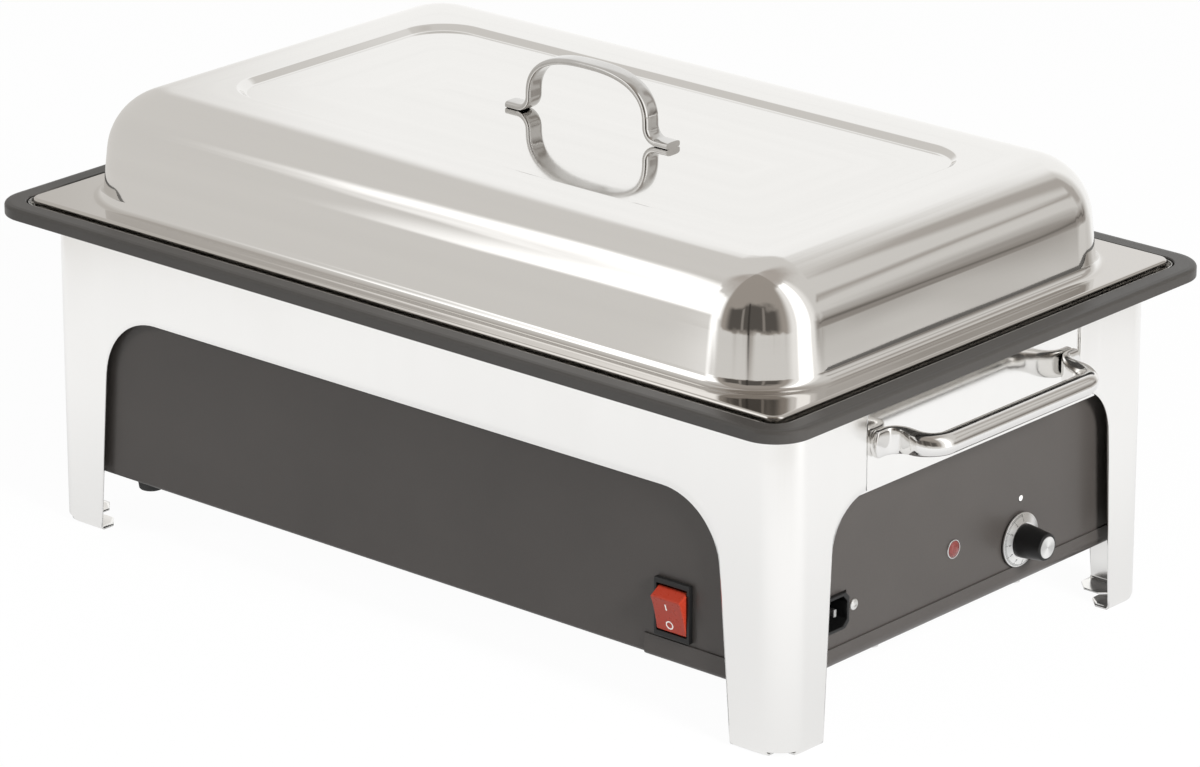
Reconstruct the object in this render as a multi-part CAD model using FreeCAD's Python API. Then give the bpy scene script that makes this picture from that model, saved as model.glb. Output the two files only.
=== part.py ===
"""Electric chafing dish for one full-size gastronorm pan.

A stainless stand of four sheet panels carries a black plastic rim. A water tank hangs in the
rim, a food pan sits on the tank's flange, and a domed lid with a bow handle covers the pan.
A powder-coated housing under the tank holds the heating element and the electrical parts.

Millimetres, +Z up, origin on the ground under the middle of the stand. +X points to the end
with the thermostat knob, and -Y to the front with the switch.
"""
import FreeCAD, Part
import math
import os

V = FreeCAD.Vector
X_AXIS = V(1, 0, 0)
Y_AXIS = V(0, 1, 0)
Z_AXIS = V(0, 0, 1)

# Stand: bent sheet panels with a leg at each corner
STAND_HALF_X = 264.5
STAND_HALF_Y = 153.5
STAND_TOP = 178.5
STAND_CORNER = 17.0
STAND_SHEET = 1.2
STAND_FLANGE = 7.0
SEAM_Y = 89.0
END_PANEL_LAP = 15.0
END_PANEL_BOTTOM = 128.0
LONG_ARCH = dict(half=229.0, lean=0.08, top=131.0, radius=39.0)
FRONT_END_ARCH = dict(half=121.5, lean=0.05, top=129.8, radius=29.0)
REAR_END_ARCH = dict(half=121.5, lean=0.05, top=134.0, radius=29.0)
FOOT_REACH = 16.5
FOOT_BEND = 2.6
FOOT_CORNER_GAP = 12.0
FOOT_NOTCH = 2.6
FOOT_CHAMFER = 7.0

# Plastic rim: a moulded frame that rests on the stand
RIM_HALF_X = 283.0
RIM_HALF_Y = 180.5
RIM_CORNER = 22.0
RIM_BOTTOM = 181.2
RIM_TOP = 188.2
RIM_WALL = 2.5
RECESS_HALF_X = 271.6
RECESS_HALF_Y = 169.1
RECESS_CORNER = 12.5
RECESS_FLOOR = 181.0
RIM_OPENING_X = 255.3
RIM_OPENING_Y = 152.6
RIM_SCREW_TIP = STAND_TOP + 2.1

# Food pan of the standard full size, 530 by 325 over its flange
PAN_HALF_X = 265.0
PAN_HALF_Y = 162.5
PAN_TOP = 189.0
PAN_SHEET = 0.9
PAN_LIP_BOTTOM = 182.3
PAN_FLANGE_CORNER = 8.0
PAN_BODY_TOP = (252.2, 149.2, 46.0)
PAN_BODY_BOTTOM = (245.6, 142.6, 42.0)
PAN_BOTTOM = 123.2
PAN_BOTTOM_RADIUS = 12.0

# Water tank
TANK_HALF_X = 270.9
TANK_HALF_Y = 168.4
TANK_CORNER = 11.8
TANK_SHEET = 0.9
TANK_UPSTAND = 187.4
TANK_MOUTH = (254.4, 151.6, 40.0)
TANK_WAIST = (251.7, 147.3, 38.0)
TANK_FLOOR = (248.6, 145.1, 36.0)
TANK_WAIST_Z = 150.0
TANK_BOTTOM = 106.0

# Lid: a deep-drawn dome with a sunk panel on top
LID_HALF_X = 267.0
LID_HALF_Y = 165.0
LID_CORNER = 7.0
LID_FLANGE_TOP = 190.2
LID_LIP_BOTTOM = 182.8
LID_SHEET = 0.9
DOME_BASE = (249.8, 147.8, 45.0)
DOME_TOP = (246.8, 144.8, 42.0)
DOME_Z = 250.0
DOME_SHOULDER = 36.0
DOME_FOOT_RADIUS = 6.0
SUNK_PANEL = (194.0, 90.0, 28.0)
SUNK_FLOOR = (190.0, 86.0, 24.0)
SUNK_DEPTH = 3.0

# Bow handle on the lid, bent from half-round bar
BOW_WIDTH = 11.0
BOW_THICKNESS = 3.8
BOW_HALF_SPAN = 59.5
BOW_HALF_WIDTH = 42.0
BOW_TOP = 284.0
BOW_FOOT_BEND = 7.5
BOW_SIDE_RADIUS = 18.0

# Carry handles on the end panels
GRIP_RADIUS = 5.0
GRIP_OFFSET = 292.0
GRIP_Z = 152.0
GRIP_NECK_Y = 68.5
PADDLE_END_Y = 85.5
PADDLE_HEIGHT = 15.0
PADDLE_THICKNESS = 4.2
PADDLE_SCREW_Y = PADDLE_END_Y - PADDLE_HEIGHT / 2

# Heater housing
HOUSING_HALF_X = 254.4
HOUSING_HALF_Y = 149.0
HOUSING_BOTTOM = 33.5
HOUSING_TOP = 150.0
HOUSING_CORNER = 12.0
HOUSING_END_EDGE = 6.0
HOUSING_SIDE_EDGE = 1.8
HOUSING_SHEET = 1.2
COVER_SHEET = 0.9
COVER_LEFT = 167.8
COVER_TOP = 44.9

# Rubber feet under the housing
FOOT_PLACES_X = (-208.0, 222.0)
FOOT_POS_Y = 134.0
FOOT_RADIUS = 8.0
FOOT_HEIGHT = 8.3

# Controls: places on the housing's right end and front
KNOB_Y = 52.0
KNOB_Z = 59.5
DIAL_RADIUS = 15.9
SHAFT_RADIUS = 3.0
LAMP_Y = -3.9
LAMP_Z = 70.2
INLET_Y = -106.0
INLET_Z = 64.0
INLET_SCREW_PITCH = 40.0
SWITCH_X = 188.0
SWITCH_Z = 62.7
SWITCH_PIVOT_Y = -146.0
SWITCH_FRAME_OUT = 3.0
ROCKER_FACE_OUT = 8.8
ROCKER_TILT = 15.2

# Heating parts under the tank
SPREADER_HALF_X = 170.0
SPREADER_HALF_Y = 95.0
SPREADER_THICKNESS = 3.0
ELEMENT_RADIUS = 4.0
CLAMP_PLACES = (-110.0, -20.0, 90.0)
SHIELD_LEFT = -200.0
SHIELD_RIGHT = 150.0
SHIELD_Z = 76.8
CUT_OUT_X = 40.0
CUT_OUT_REACH = 16.0
CUT_OUT_TAB_Y = 4.0
CUT_OUT_TAB_Z = 97.5

# Leads inside the housing
LEAD_RADIUS = 1.3
LEAD_BEND = 5.0

# Fits and gaps
RUNNING_FIT = 0.05
BODY_GAP = 0.3


def rounded_outline(half_x, half_y, radius, z):
    """Closed rectangle with round corners, flat at height z."""
    middle = radius * math.sqrt(0.5)
    edges = []
    corners = ((1, 1), (-1, 1), (-1, -1), (1, -1))
    for number, (sx, sy) in enumerate(corners):
        cx = sx * (half_x - radius)
        cy = sy * (half_y - radius)
        along_x = V(cx + sx * radius, cy, z)
        along_y = V(cx, cy + sy * radius, z)
        via = V(cx + sx * middle, cy + sy * middle, z)
        first, last = (along_x, along_y) if number % 2 == 0 else (along_y, along_x)
        edges.append((first, via, last))
    loop = []
    for number, (first, via, last) in enumerate(edges):
        loop.append(Part.Arc(first, via, last).toShape())
        following = edges[(number + 1) % 4][0]
        loop.append(Part.makeLine(last, following))
    return Part.Wire(loop)


def slab(half_x, half_y, radius, z0, z1):
    """Upright prism on a rounded rectangle."""
    return Part.Face(rounded_outline(half_x, half_y, radius, z0)).extrude(V(0, 0, z1 - z0))


def frustum(*sections):
    """Straight-sided solid through rounded rectangles given as (half_x, half_y, radius, z)."""
    return Part.makeLoft([rounded_outline(*section) for section in sections], True, True)


def block(x0, x1, y0, y1, z0, z1):
    """Box between two corners."""
    return Part.makeBox(x1 - x0, y1 - y0, z1 - z0, V(x0, y0, z0))


def rod(radius, start, end):
    """Cylinder between two points."""
    start = V(*start)
    end = V(*end)
    return Part.makeCylinder(radius, (end - start).Length, start, end - start)


def cone(radius_start, radius_end, start, end):
    """Cone frustum between two points."""
    start = V(*start)
    end = V(*end)
    return Part.makeCone(radius_start, radius_end, (end - start).Length, start, end - start)


def hexagon(width, start, end):
    """Hexagonal prism for a nut, width across its flats, between two points."""
    start = V(*start)
    end = V(*end)
    direction = end - start
    side = V(0, 1, 0) if abs(direction.x) > 0.001 else V(1, 0, 0)
    up = direction.cross(side).normalize()
    reach = width / math.sqrt(3)
    corners = []
    for turn in range(7):
        angle = math.radians(60 * turn)
        corners.append(start + side * (reach * math.cos(angle)) + up * (reach * math.sin(angle)))
    return Part.Face(Part.makePolygon(corners)).extrude(direction)


def prism(points, offset):
    """Solid on a flat polygon, pushed along an offset vector."""
    corners = [V(*point) for point in points]
    return Part.Face(Part.makePolygon(corners + [corners[0]])).extrude(V(*offset))


def edges_at(shape, z):
    """Edges that lie flat at height z."""
    return [edge for edge in shape.Edges
            if abs(edge.BoundBox.ZMin - z) < 0.01 and abs(edge.BoundBox.ZMax - z) < 0.01]


def round_edges_at(shape, z, radius):
    """Round off the edges that lie flat at height z."""
    return shape.makeFillet(radius, edges_at(shape, z))


def join(shapes):
    """One solid from shapes that overlap or touch."""
    shapes = list(shapes)
    return shapes[0].fuse(shapes[1:]).removeSplitter()


def cut(shape, *tools):
    """Take tools away from a shape."""
    return shape.cut(Part.makeCompound(list(tools)))


def bent_path(points, radius):
    """Wire of straight runs joined by arcs of one radius."""
    points = [V(*point) for point in points]
    edges = []
    start = points[0]
    for before, corner, after in zip(points, points[1:], points[2:]):
        incoming = (corner - before).normalize()
        outgoing = (after - corner).normalize()
        half_turn = incoming.getAngle(outgoing) / 2
        setback = radius * math.tan(half_turn)
        arc_start = corner - incoming * setback
        arc_end = corner + outgoing * setback
        to_centre = (outgoing - incoming).normalize()
        arc_middle = corner + to_centre * (radius / math.cos(half_turn) - radius)
        edges.append(Part.makeLine(start, arc_start))
        edges.append(Part.Arc(arc_start, arc_middle, arc_end).toShape())
        start = arc_end
    edges.append(Part.makeLine(start, points[-1]))
    return Part.Wire(edges)


def pipe(points, bend_radius, radius):
    """Round bar or wire along a bent path."""
    path = bent_path(points, bend_radius)
    direction = V(*points[1]) - V(*points[0])
    ring = Part.Wire([Part.Circle(V(*points[0]), direction, radius).toShape()])
    return path.makePipeShell([ring], True, False)


def both_ends(shape):
    """A shape and its mirror image in the plane x = 0."""
    return [shape, shape.mirror(V(0, 0, 0), X_AXIS)]


def save(name, *solids):
    """Write one sub-part. Several solids stay separate solids of one file."""
    shape = solids[0] if len(solids) == 1 else Part.makeCompound(list(solids))
    if not shape.isValid():
        raise RuntimeError(name + " is not a valid shape")
    shape.exportStep("parts/" + name + ".step")


def arch(half, lean, top, radius):
    """Opening between two legs, cut along Y: sides lean in, and the top corners are round."""
    low = -5.0
    reach = 2 * STAND_HALF_X
    sides = [(-(half - lean * low), -reach, low), (half - lean * low, -reach, low),
             (half - lean * top, -reach, top), (-(half - lean * top), -reach, top)]
    opening = prism(sides, (0, 2 * reach, 0))
    upper = [edge for edge in opening.Edges
             if edge.BoundBox.ZMin > top - 0.01 and edge.BoundBox.YLength > reach]
    return opening.makeFillet(radius, upper)


def stand_wall():
    """The stand's whole wall as one bent sheet, with turned-in feet and a turned-out top."""
    outside = slab(STAND_HALF_X, STAND_HALF_Y, STAND_CORNER, 0, STAND_TOP)
    outside = round_edges_at(outside, 0, FOOT_BEND)
    sheet = STAND_SHEET
    inside = slab(STAND_HALF_X - sheet, STAND_HALF_Y - sheet, STAND_CORNER - sheet, sheet,
                  STAND_TOP + 1)
    inside = round_edges_at(inside, sheet, FOOT_BEND - sheet)
    inner_x = STAND_HALF_X - FOOT_REACH
    inner_y = STAND_HALF_Y - FOOT_REACH
    middle = block(-inner_x, inner_x, -inner_y, inner_y, -1, 10)
    reach = STAND_FLANGE
    flange = slab(STAND_HALF_X + reach, STAND_HALF_Y + reach, STAND_CORNER + reach,
                  STAND_TOP - sheet, STAND_TOP)
    return outside.fuse(flange).cut(inside).cut(middle)


def foot_trim():
    """What is cut from the feet: the notch at each corner and the slanted tips."""
    tools = []
    notch = FOOT_CORNER_GAP
    inner_x = STAND_HALF_X - FOOT_REACH
    inner_y = STAND_HALF_Y - FOOT_REACH
    tips = ((LONG_ARCH["half"], inner_y, 1, -1), (STAND_HALF_X - notch, inner_y, -1, -1),
            (inner_x, FRONT_END_ARCH["half"], 1, 1), (inner_x, STAND_HALF_Y - notch, 1, -1))
    for sx in (-1, 1):
        corner = block(STAND_HALF_X - notch, STAND_HALF_X + 1, -STAND_HALF_Y - 1,
                       notch - STAND_HALF_Y, -1, FOOT_NOTCH)
        tools.append(corner if sx > 0 else corner.mirror(V(0, 0, 0), X_AXIS))
        for x, y, dx, dy in tips:
            run_x = dx * FOOT_CHAMFER
            run_y = dy * FOOT_CHAMFER
            wedge = prism([(sx * x, -y, -1), (sx * (x + run_x), -y, -1),
                           (sx * x, -(y - run_y) if dy < 0 else -(y + run_y), -1)], (0, 0, 3))
            tools.append(wedge)
    return tools


def long_panel(end_form):
    """A long panel with its two legs, wrapped round the corners up to an arch in each end."""
    panel = stand_wall().common(block(-400, 400, -300, -SEAM_Y, -2, STAND_TOP + 1))
    screw_holes = [rod(1.5, (x, y, STAND_TOP - 5), (x, y, STAND_TOP + 5))
                   for x, y in rim_screw_places()]
    end_opening = arch(**end_form)
    end_opening.rotate(V(0, 0, 0), Z_AXIS, 90)
    panel = cut(panel, arch(**LONG_ARCH), end_opening)
    return cut(panel, *(foot_trim() + screw_holes))


def rim_screw_places():
    """Screws that hold the rim down on the stand's flange."""
    offset_y = STAND_HALF_Y + STAND_FLANGE / 2
    return [(x, sy * offset_y) for x in (-200.0, 0.0, 200.0) for sy in (-1, 1)]


def bracket_screw_places():
    """Screws that hold the hanger brackets up under the rim."""
    return [(sx * 259.4, y) for sx in (-1, 1) for y in (-100.0, 100.0)]


def stand_panels():
    """Front and rear panels with their legs, and the recessed end panels."""
    save("front_stand_panel", long_panel(FRONT_END_ARCH))
    save("rear_stand_panel", long_panel(REAR_END_ARCH).mirror(V(0, 0, 0), Y_AXIS))
    face = STAND_HALF_X - STAND_SHEET
    lap = SEAM_Y + END_PANEL_LAP
    panel = block(face - STAND_SHEET, face, -lap, lap, END_PANEL_BOTTOM, STAND_TOP)
    panel = cut(panel, *[rod(2.5, (face - 5, y, GRIP_Z), (face + 5, y, GRIP_Z))
                         for y in (-PADDLE_SCREW_Y, PADDLE_SCREW_Y)])
    right, left = both_ends(panel)
    save("right_end_panel", right)
    save("left_end_panel", left)


def grip_section(point, direction, wide, high):
    """Ellipse across a handle's path, wide in the horizontal and high in Z."""
    direction = V(*direction).normalize()
    side = direction.cross(Z_AXIS)
    if wide >= high:
        curve = Part.Ellipse(V(*point) + side * wide, V(*point) + Z_AXIS * high, V(*point))
    else:
        curve = Part.Ellipse(V(*point) + Z_AXIS * high, V(*point) - side * wide, V(*point))
    return Part.Wire([curve.toShape()])


def carry_handle():
    """Round bar whose ends bend in and flatten into paddles on the end panel."""
    face = STAND_HALF_X - STAND_SHEET
    paddle_x = face + PADDLE_THICKNESS / 2
    bend = 8.0
    corner = 6.5
    sections = []
    flat = PADDLE_THICKNESS / 2
    tall = PADDLE_HEIGHT / 2 - 0.4
    first_centre = V(paddle_x + bend, -GRIP_NECK_Y - bend, GRIP_Z)
    sections.append(grip_section((paddle_x, first_centre.y - 3, GRIP_Z), (0, 1, 0), flat, tall))
    steps = 4
    for step in range(steps + 1):
        share = step / steps
        angle = share * math.pi / 2
        point = first_centre + V(-bend * math.cos(angle), bend * math.sin(angle), 0)
        heading = (math.sin(angle), math.cos(angle), 0)
        wide = flat + (GRIP_RADIUS - 0.4 - flat) * share
        high = tall + (GRIP_RADIUS - 0.1 - tall) * share
        sections.append(grip_section(point, heading, wide, high))
    second_centre = V(GRIP_OFFSET - corner, corner - GRIP_NECK_Y, GRIP_Z)
    for step in range(steps + 1):
        angle = step / steps * math.pi / 2
        point = second_centre + V(corner * math.sin(angle), -corner * math.cos(angle), 0)
        heading = (math.cos(angle), math.sin(angle), 0)
        sections.append(grip_section(point, heading, GRIP_RADIUS - 0.01 * (steps - step), GRIP_RADIUS))
    neck = Part.makeLoft(sections, True, False)
    height = PADDLE_HEIGHT / 2
    paddle = block(face, face + PADDLE_THICKNESS, -PADDLE_SCREW_Y, -GRIP_NECK_Y - bend + 1,
                   GRIP_Z - height, GRIP_Z + height)
    tip = rod(height, (face, -PADDLE_SCREW_Y, GRIP_Z), (face + PADDLE_THICKNESS, -PADDLE_SCREW_Y, GRIP_Z))
    half = [neck, paddle, tip]
    other = [shape.mirror(V(0, 0, 0), Y_AXIS) for shape in half]
    bar = rod(GRIP_RADIUS, (GRIP_OFFSET, second_centre.y, GRIP_Z), (GRIP_OFFSET, -second_centre.y, GRIP_Z))
    handle = join(half + other + [bar])
    behind = block(face - 10, face, -100, 100, GRIP_Z - 20, GRIP_Z + 20)
    holes = [rod(2.5, (face - 1, y, GRIP_Z), (face + 3, y, GRIP_Z))
             for y in (-PADDLE_SCREW_Y, PADDLE_SCREW_Y)]
    return cut(handle, behind, *holes)


def carry_handles():
    """Both carry handles and the screws that hold them from inside."""
    right, left = both_ends(carry_handle())
    save("right_carry_handle", right)
    save("left_carry_handle", left)
    face = STAND_HALF_X - STAND_SHEET
    back = face - STAND_SHEET
    screws = []
    for y in (-PADDLE_SCREW_Y, PADDLE_SCREW_Y):
        shank = rod(2.5, (back, y, GRIP_Z), (face + 3, y, GRIP_Z))
        head = rod(4.5, (back - 2.6, y, GRIP_Z), (back, y, GRIP_Z))
        screws.extend(both_ends(shank.fuse(head).removeSplitter()))
    save("carry_handle_screws", *screws)


def plastic_rim():
    """Moulded frame: outer skirt, top, and a stepped shelf for the tank's flange."""
    outside = slab(RIM_HALF_X, RIM_HALF_Y, RIM_CORNER, RIM_BOTTOM, RIM_TOP)
    outside = round_edges_at(outside, RIM_TOP, 2.0)
    wall = RIM_WALL
    shelf = slab(RECESS_HALF_X + wall, RECESS_HALF_Y + wall, RECESS_CORNER + wall, STAND_TOP,
                 RIM_TOP - wall)
    groove = slab(RIM_HALF_X - wall, RIM_HALF_Y - wall, RIM_CORNER - wall, RIM_BOTTOM - 1,
                  RIM_TOP - wall)
    recess = slab(RECESS_HALF_X, RECESS_HALF_Y, RECESS_CORNER, RECESS_FLOOR, RIM_TOP + 1)
    opening = slab(RIM_OPENING_X, RIM_OPENING_Y, 41.0, STAND_TOP - 1, RIM_TOP + 1)
    holes = [rod(1.5, (x, y, STAND_TOP - 1), (x, y, RIM_SCREW_TIP)) for x, y in
             rim_screw_places() + bracket_screw_places()]
    frame = outside.cut(groove).fuse(shelf).cut(recess).cut(opening)
    save("plastic_rim", cut(frame.removeSplitter(), *holes))


def rim_screws():
    """Screws up into the rim, through the stand's flange and the hanger brackets."""
    seat = STAND_TOP - STAND_SHEET
    screws = []
    for x, y in rim_screw_places() + bracket_screw_places():
        shank = rod(1.5, (x, y, seat), (x, y, RIM_SCREW_TIP))
        head = rod(2.4, (x, y, seat - 1.8), (x, y, seat))
        screws.append(shank.fuse(head).removeSplitter())
    save("rim_screws", *screws)


def inward(section, distance):
    """A rounded rectangle moved inwards by a distance."""
    return tuple(size - distance for size in section)


def water_tank():
    """Tank wall with a channel round its flange that catches drips, and the floor welded into it."""
    sheet = TANK_SHEET
    tray = slab(TANK_HALF_X, TANK_HALF_Y, TANK_CORNER, RECESS_FLOOR, TANK_UPSTAND)
    channel = slab(TANK_HALF_X - sheet, TANK_HALF_Y - sheet, TANK_CORNER - sheet,
                   RECESS_FLOOR + sheet, TANK_UPSTAND + 1)
    flange_top = RECESS_FLOOR + sheet
    outside = frustum(TANK_MOUTH + (flange_top,), TANK_WAIST + (TANK_WAIST_Z,),
                      TANK_FLOOR + (TANK_BOTTOM,))
    inside = frustum(inward(TANK_MOUTH, sheet) + (flange_top + 0.2,),
                     inward(TANK_WAIST, sheet) + (TANK_WAIST_Z,),
                     inward(TANK_FLOOR, sheet) + (TANK_BOTTOM,))
    save("water_tank", tray.cut(channel).fuse(outside).cut(inside).removeSplitter())
    layer = slab(TANK_HALF_X, TANK_HALF_Y, TANK_CORNER, TANK_BOTTOM, TANK_BOTTOM + sheet)
    save("tank_floor", inside.common(layer))


def food_pan():
    """Gastronorm pan with a turned-down flange edge."""
    sheet = PAN_SHEET
    flange = slab(PAN_HALF_X, PAN_HALF_Y, PAN_FLANGE_CORNER, PAN_LIP_BOTTOM, PAN_TOP)
    flange = round_edges_at(flange, PAN_TOP, 1.2)
    under = slab(PAN_HALF_X - sheet, PAN_HALF_Y - sheet, PAN_FLANGE_CORNER - sheet,
                 PAN_LIP_BOTTOM - 1, PAN_TOP - sheet)
    outside = frustum(PAN_BODY_TOP + (PAN_TOP - sheet,), PAN_BODY_BOTTOM + (PAN_BOTTOM,))
    outside = round_edges_at(outside, PAN_BOTTOM, PAN_BOTTOM_RADIUS)
    inside = frustum(inward(PAN_BODY_TOP, sheet) + (PAN_TOP + 1,),
                     inward(PAN_BODY_BOTTOM, sheet) + (PAN_BOTTOM + sheet,))
    inside = round_edges_at(inside, PAN_BOTTOM + sheet, PAN_BOTTOM_RADIUS - sheet)
    save("food_pan", flange.cut(under).fuse(outside).cut(inside).removeSplitter())


def lid_form(inset):
    """The lid's outer form, or its inner form when moved inwards by the sheet's thickness."""
    bottom = LID_LIP_BOTTOM - inset
    flange_top = LID_FLANGE_TOP - inset
    flange = slab(LID_HALF_X - inset, LID_HALF_Y - inset, LID_CORNER - inset, bottom, flange_top)
    if inset == 0:
        flange = round_edges_at(flange, flange_top, 1.2)
    dome = frustum(inward(DOME_BASE, inset) + (flange_top - 2,),
                   inward(DOME_TOP, inset) + (DOME_Z - inset,))
    dome = round_edges_at(dome, DOME_Z - inset, DOME_SHOULDER - inset)
    joined = flange.fuse(dome).removeSplitter()
    at_foot = [edge for edge in edges_at(joined, flange_top)
               if abs(edge.CenterOfMass.x) < DOME_BASE[0] + 1 and abs(edge.CenterOfMass.y) < DOME_BASE[1] + 1]
    joined = joined.makeFillet(DOME_FOOT_RADIUS + inset, at_foot)
    rise = DOME_Z - inset
    sunk = frustum(SUNK_PANEL + (rise,), SUNK_FLOOR + (rise - SUNK_DEPTH,))
    return joined.cut(sunk)


def lid_shell():
    """Deep-drawn lid."""
    shell = lid_form(0).cut(lid_form(LID_SHEET))
    save("lid_shell", shell.removeSplitter())


def lid_handle():
    """Bow handle: feet on the sunk panel, curves up, and a three-arc bow."""
    seat = DOME_Z - SUNK_DEPTH
    low = seat + BOW_THICKNESS / 2
    top = BOW_TOP - BOW_THICKNESS / 2
    half = BOW_HALF_WIDTH
    bend = BOW_FOOT_BEND
    spring = low + bend
    rise = top - spring
    side = BOW_SIDE_RADIUS
    crown = ((half - side) ** 2 + rise ** 2 - side ** 2) / (2 * (rise - side))
    lean = math.atan2(half - side, crown - rise)
    side_centre = V(half - side, 0, spring)

    def around(centre, radius, angle):
        return centre + V(radius * math.sin(angle), 0, radius * math.cos(angle))

    foot_centre = V(half + bend, 0, spring)
    joint = around(side_centre, side, lean)
    crown_centre = V(0, 0, top - crown)
    arcs = [Part.makeLine(V(BOW_HALF_SPAN, 0, low), V(half + bend, 0, low)),
            Part.Arc(V(half + bend, 0, low),
                     foot_centre - V(bend * math.sqrt(0.5), 0, bend * math.sqrt(0.5)),
                     V(half, 0, spring)).toShape(),
            Part.Arc(V(half, 0, spring), around(side_centre, side, (lean + math.pi / 2) / 2),
                     joint).toShape(),
            Part.Arc(joint, around(crown_centre, crown, lean / 2), V(0, 0, top)).toShape()]
    path = Part.Wire(arcs)
    reach = BOW_WIDTH / 2
    flat = BOW_THICKNESS / 2
    start = BOW_HALF_SPAN
    round_top = Part.Arc(V(start, reach, low + 0.2), V(start, 0, low + flat), V(start, -reach, low + 0.2))
    profile = Part.Wire([round_top.toShape(),
                         Part.makeLine(V(start, -reach, low + 0.2), V(start, -reach, low - flat)),
                         Part.makeLine(V(start, -reach, low - flat), V(start, reach, low - flat)),
                         Part.makeLine(V(start, reach, low - flat), V(start, reach, low + 0.2))])
    right = path.makePipeShell([profile], True, False)
    save("lid_handle", join([right, right.mirror(V(0, 0, 0), X_AXIS)]))


def housing_form(grow):
    """The housing's outer form, moved outwards by a distance, or inwards if it is negative.

    The lower edges are rounded at the ends and nearly sharp at the front and the rear.
    """
    half_x = HOUSING_HALF_X + grow
    half_y = HOUSING_HALF_Y + grow
    bottom = HOUSING_BOTTOM - grow
    top = HOUSING_TOP if grow >= 0 else HOUSING_TOP + 1
    beyond = 400
    form = slab(half_x, half_y, HOUSING_CORNER + grow, bottom, top)
    ends = block(-half_x, half_x, -beyond, beyond, bottom, top)
    sides = block(-beyond, beyond, -half_y, half_y, bottom, top)
    form = form.common(round_edges_at(ends, bottom, HOUSING_END_EDGE + grow))
    form = form.common(round_edges_at(sides, bottom, HOUSING_SIDE_EDGE + grow))
    return form.removeSplitter()


def housing_foot_places():
    """Centres of the four rubber feet."""
    return [(x, sy * FOOT_POS_Y) for x in FOOT_PLACES_X for sy in (-1, 1)]


def cover_screw_places():
    """Screws that hold the bottom cover."""
    return [(178.0, -100.0), (178.0, 100.0), (246.0, -60.0), (246.0, 60.0)]


def rivet_places():
    """Rivets through the hanger brackets and the housing's ends."""
    return [(y, z) for y in (-100.0, 100.0) for z in (136.5, 144.5)]


def heater_housing():
    """Open-topped sheet box with openings for the controls and for the hand below."""
    wall = HOUSING_SHEET
    end = HOUSING_HALF_X
    front = -HOUSING_HALF_Y
    shell = housing_form(0).cut(housing_form(-wall))
    tools = [rod(5.1, (end - 5, KNOB_Y, KNOB_Z), (end + 5, KNOB_Y, KNOB_Z)),
             rod(4.2, (end - 5, LAMP_Y, LAMP_Z), (end + 5, LAMP_Y, LAMP_Z)),
             block(end - 5, end + 5, INLET_Y - 14, INLET_Y + 14, INLET_Z - 10, INLET_Z + 10),
             block(SWITCH_X - 11, SWITCH_X + 11, front - 5, front + 5, SWITCH_Z - 14.2,
                   SWITCH_Z + 14.2),
             block(186, 238, -88, 88, HOUSING_BOTTOM - 5, HOUSING_BOTTOM + 5)]
    for sy in (-1, 1):
        y = INLET_Y + sy * INLET_SCREW_PITCH / 2
        tools.append(rod(1.75, (end - 5, y, INLET_Z), (end + 5, y, INLET_Z)))
    for x, y in housing_foot_places():
        tools.append(rod(2.0, (x, y, HOUSING_BOTTOM - 5), (x, y, HOUSING_BOTTOM + 5)))
    for x, y in cover_screw_places():
        tools.append(rod(1.75, (x, y, HOUSING_BOTTOM - 5), (x, y, HOUSING_BOTTOM + 5)))
    for y, z in rivet_places():
        tools.extend(both_ends(rod(2.0, (end - 5, y, z), (end + 5, y, z))))
    save("heater_housing", cut(shell, *tools))


def bottom_cover():
    """Thin cover wrapped round the housing's right end, and its screws."""
    sleeve = housing_form(COVER_SHEET).cut(housing_form(0))
    bottom = HOUSING_BOTTOM - COVER_SHEET
    part = sleeve.common(block(COVER_LEFT, 300, -200, 200, bottom - 1, COVER_TOP))
    tools = []
    screws = []
    for x, y in cover_screw_places():
        shank = rod(1.75, (x, y, bottom), (x, y, bottom + 6))
        head = rod(3.4, (x, y, bottom - 1.6), (x, y, bottom))
        tools.append(rod(1.75, (x, y, bottom - 1), (x, y, bottom + 5)))
        screws.append(shank.fuse(head).removeSplitter())
    for x, y in housing_foot_places():
        tools.append(rod(FOOT_RADIUS + 0.5, (x, y, bottom - 1), (x, y, bottom + 3)))
    save("bottom_cover", cut(part, *tools))
    save("bottom_cover_screws", *screws)


def housing_feet():
    """Rubber feet and the screws through them."""
    feet = []
    screws = []
    top = HOUSING_BOTTOM
    for x, y in housing_foot_places():
        foot = cone(FOOT_RADIUS - 1.2, FOOT_RADIUS, (x, y, top - FOOT_HEIGHT), (x, y, top))
        well = rod(4.5, (x, y, top - FOOT_HEIGHT - 1), (x, y, top - 3))
        bore = rod(2.0, (x, y, top - FOOT_HEIGHT - 1), (x, y, top + 1))
        feet.append(cut(foot, well, bore))
        shank = rod(2.0, (x, y, top - 3), (x, y, top + 5.5))
        head = rod(4.0, (x, y, top - 5.4), (x, y, top - 3))
        nut = hexagon(7.0, (x, y, top + HOUSING_SHEET), (x, y, top + HOUSING_SHEET + 3))
        screws.append(join([shank, head, nut]))
    save("housing_feet", *feet)
    save("housing_foot_screws", *screws)


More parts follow.
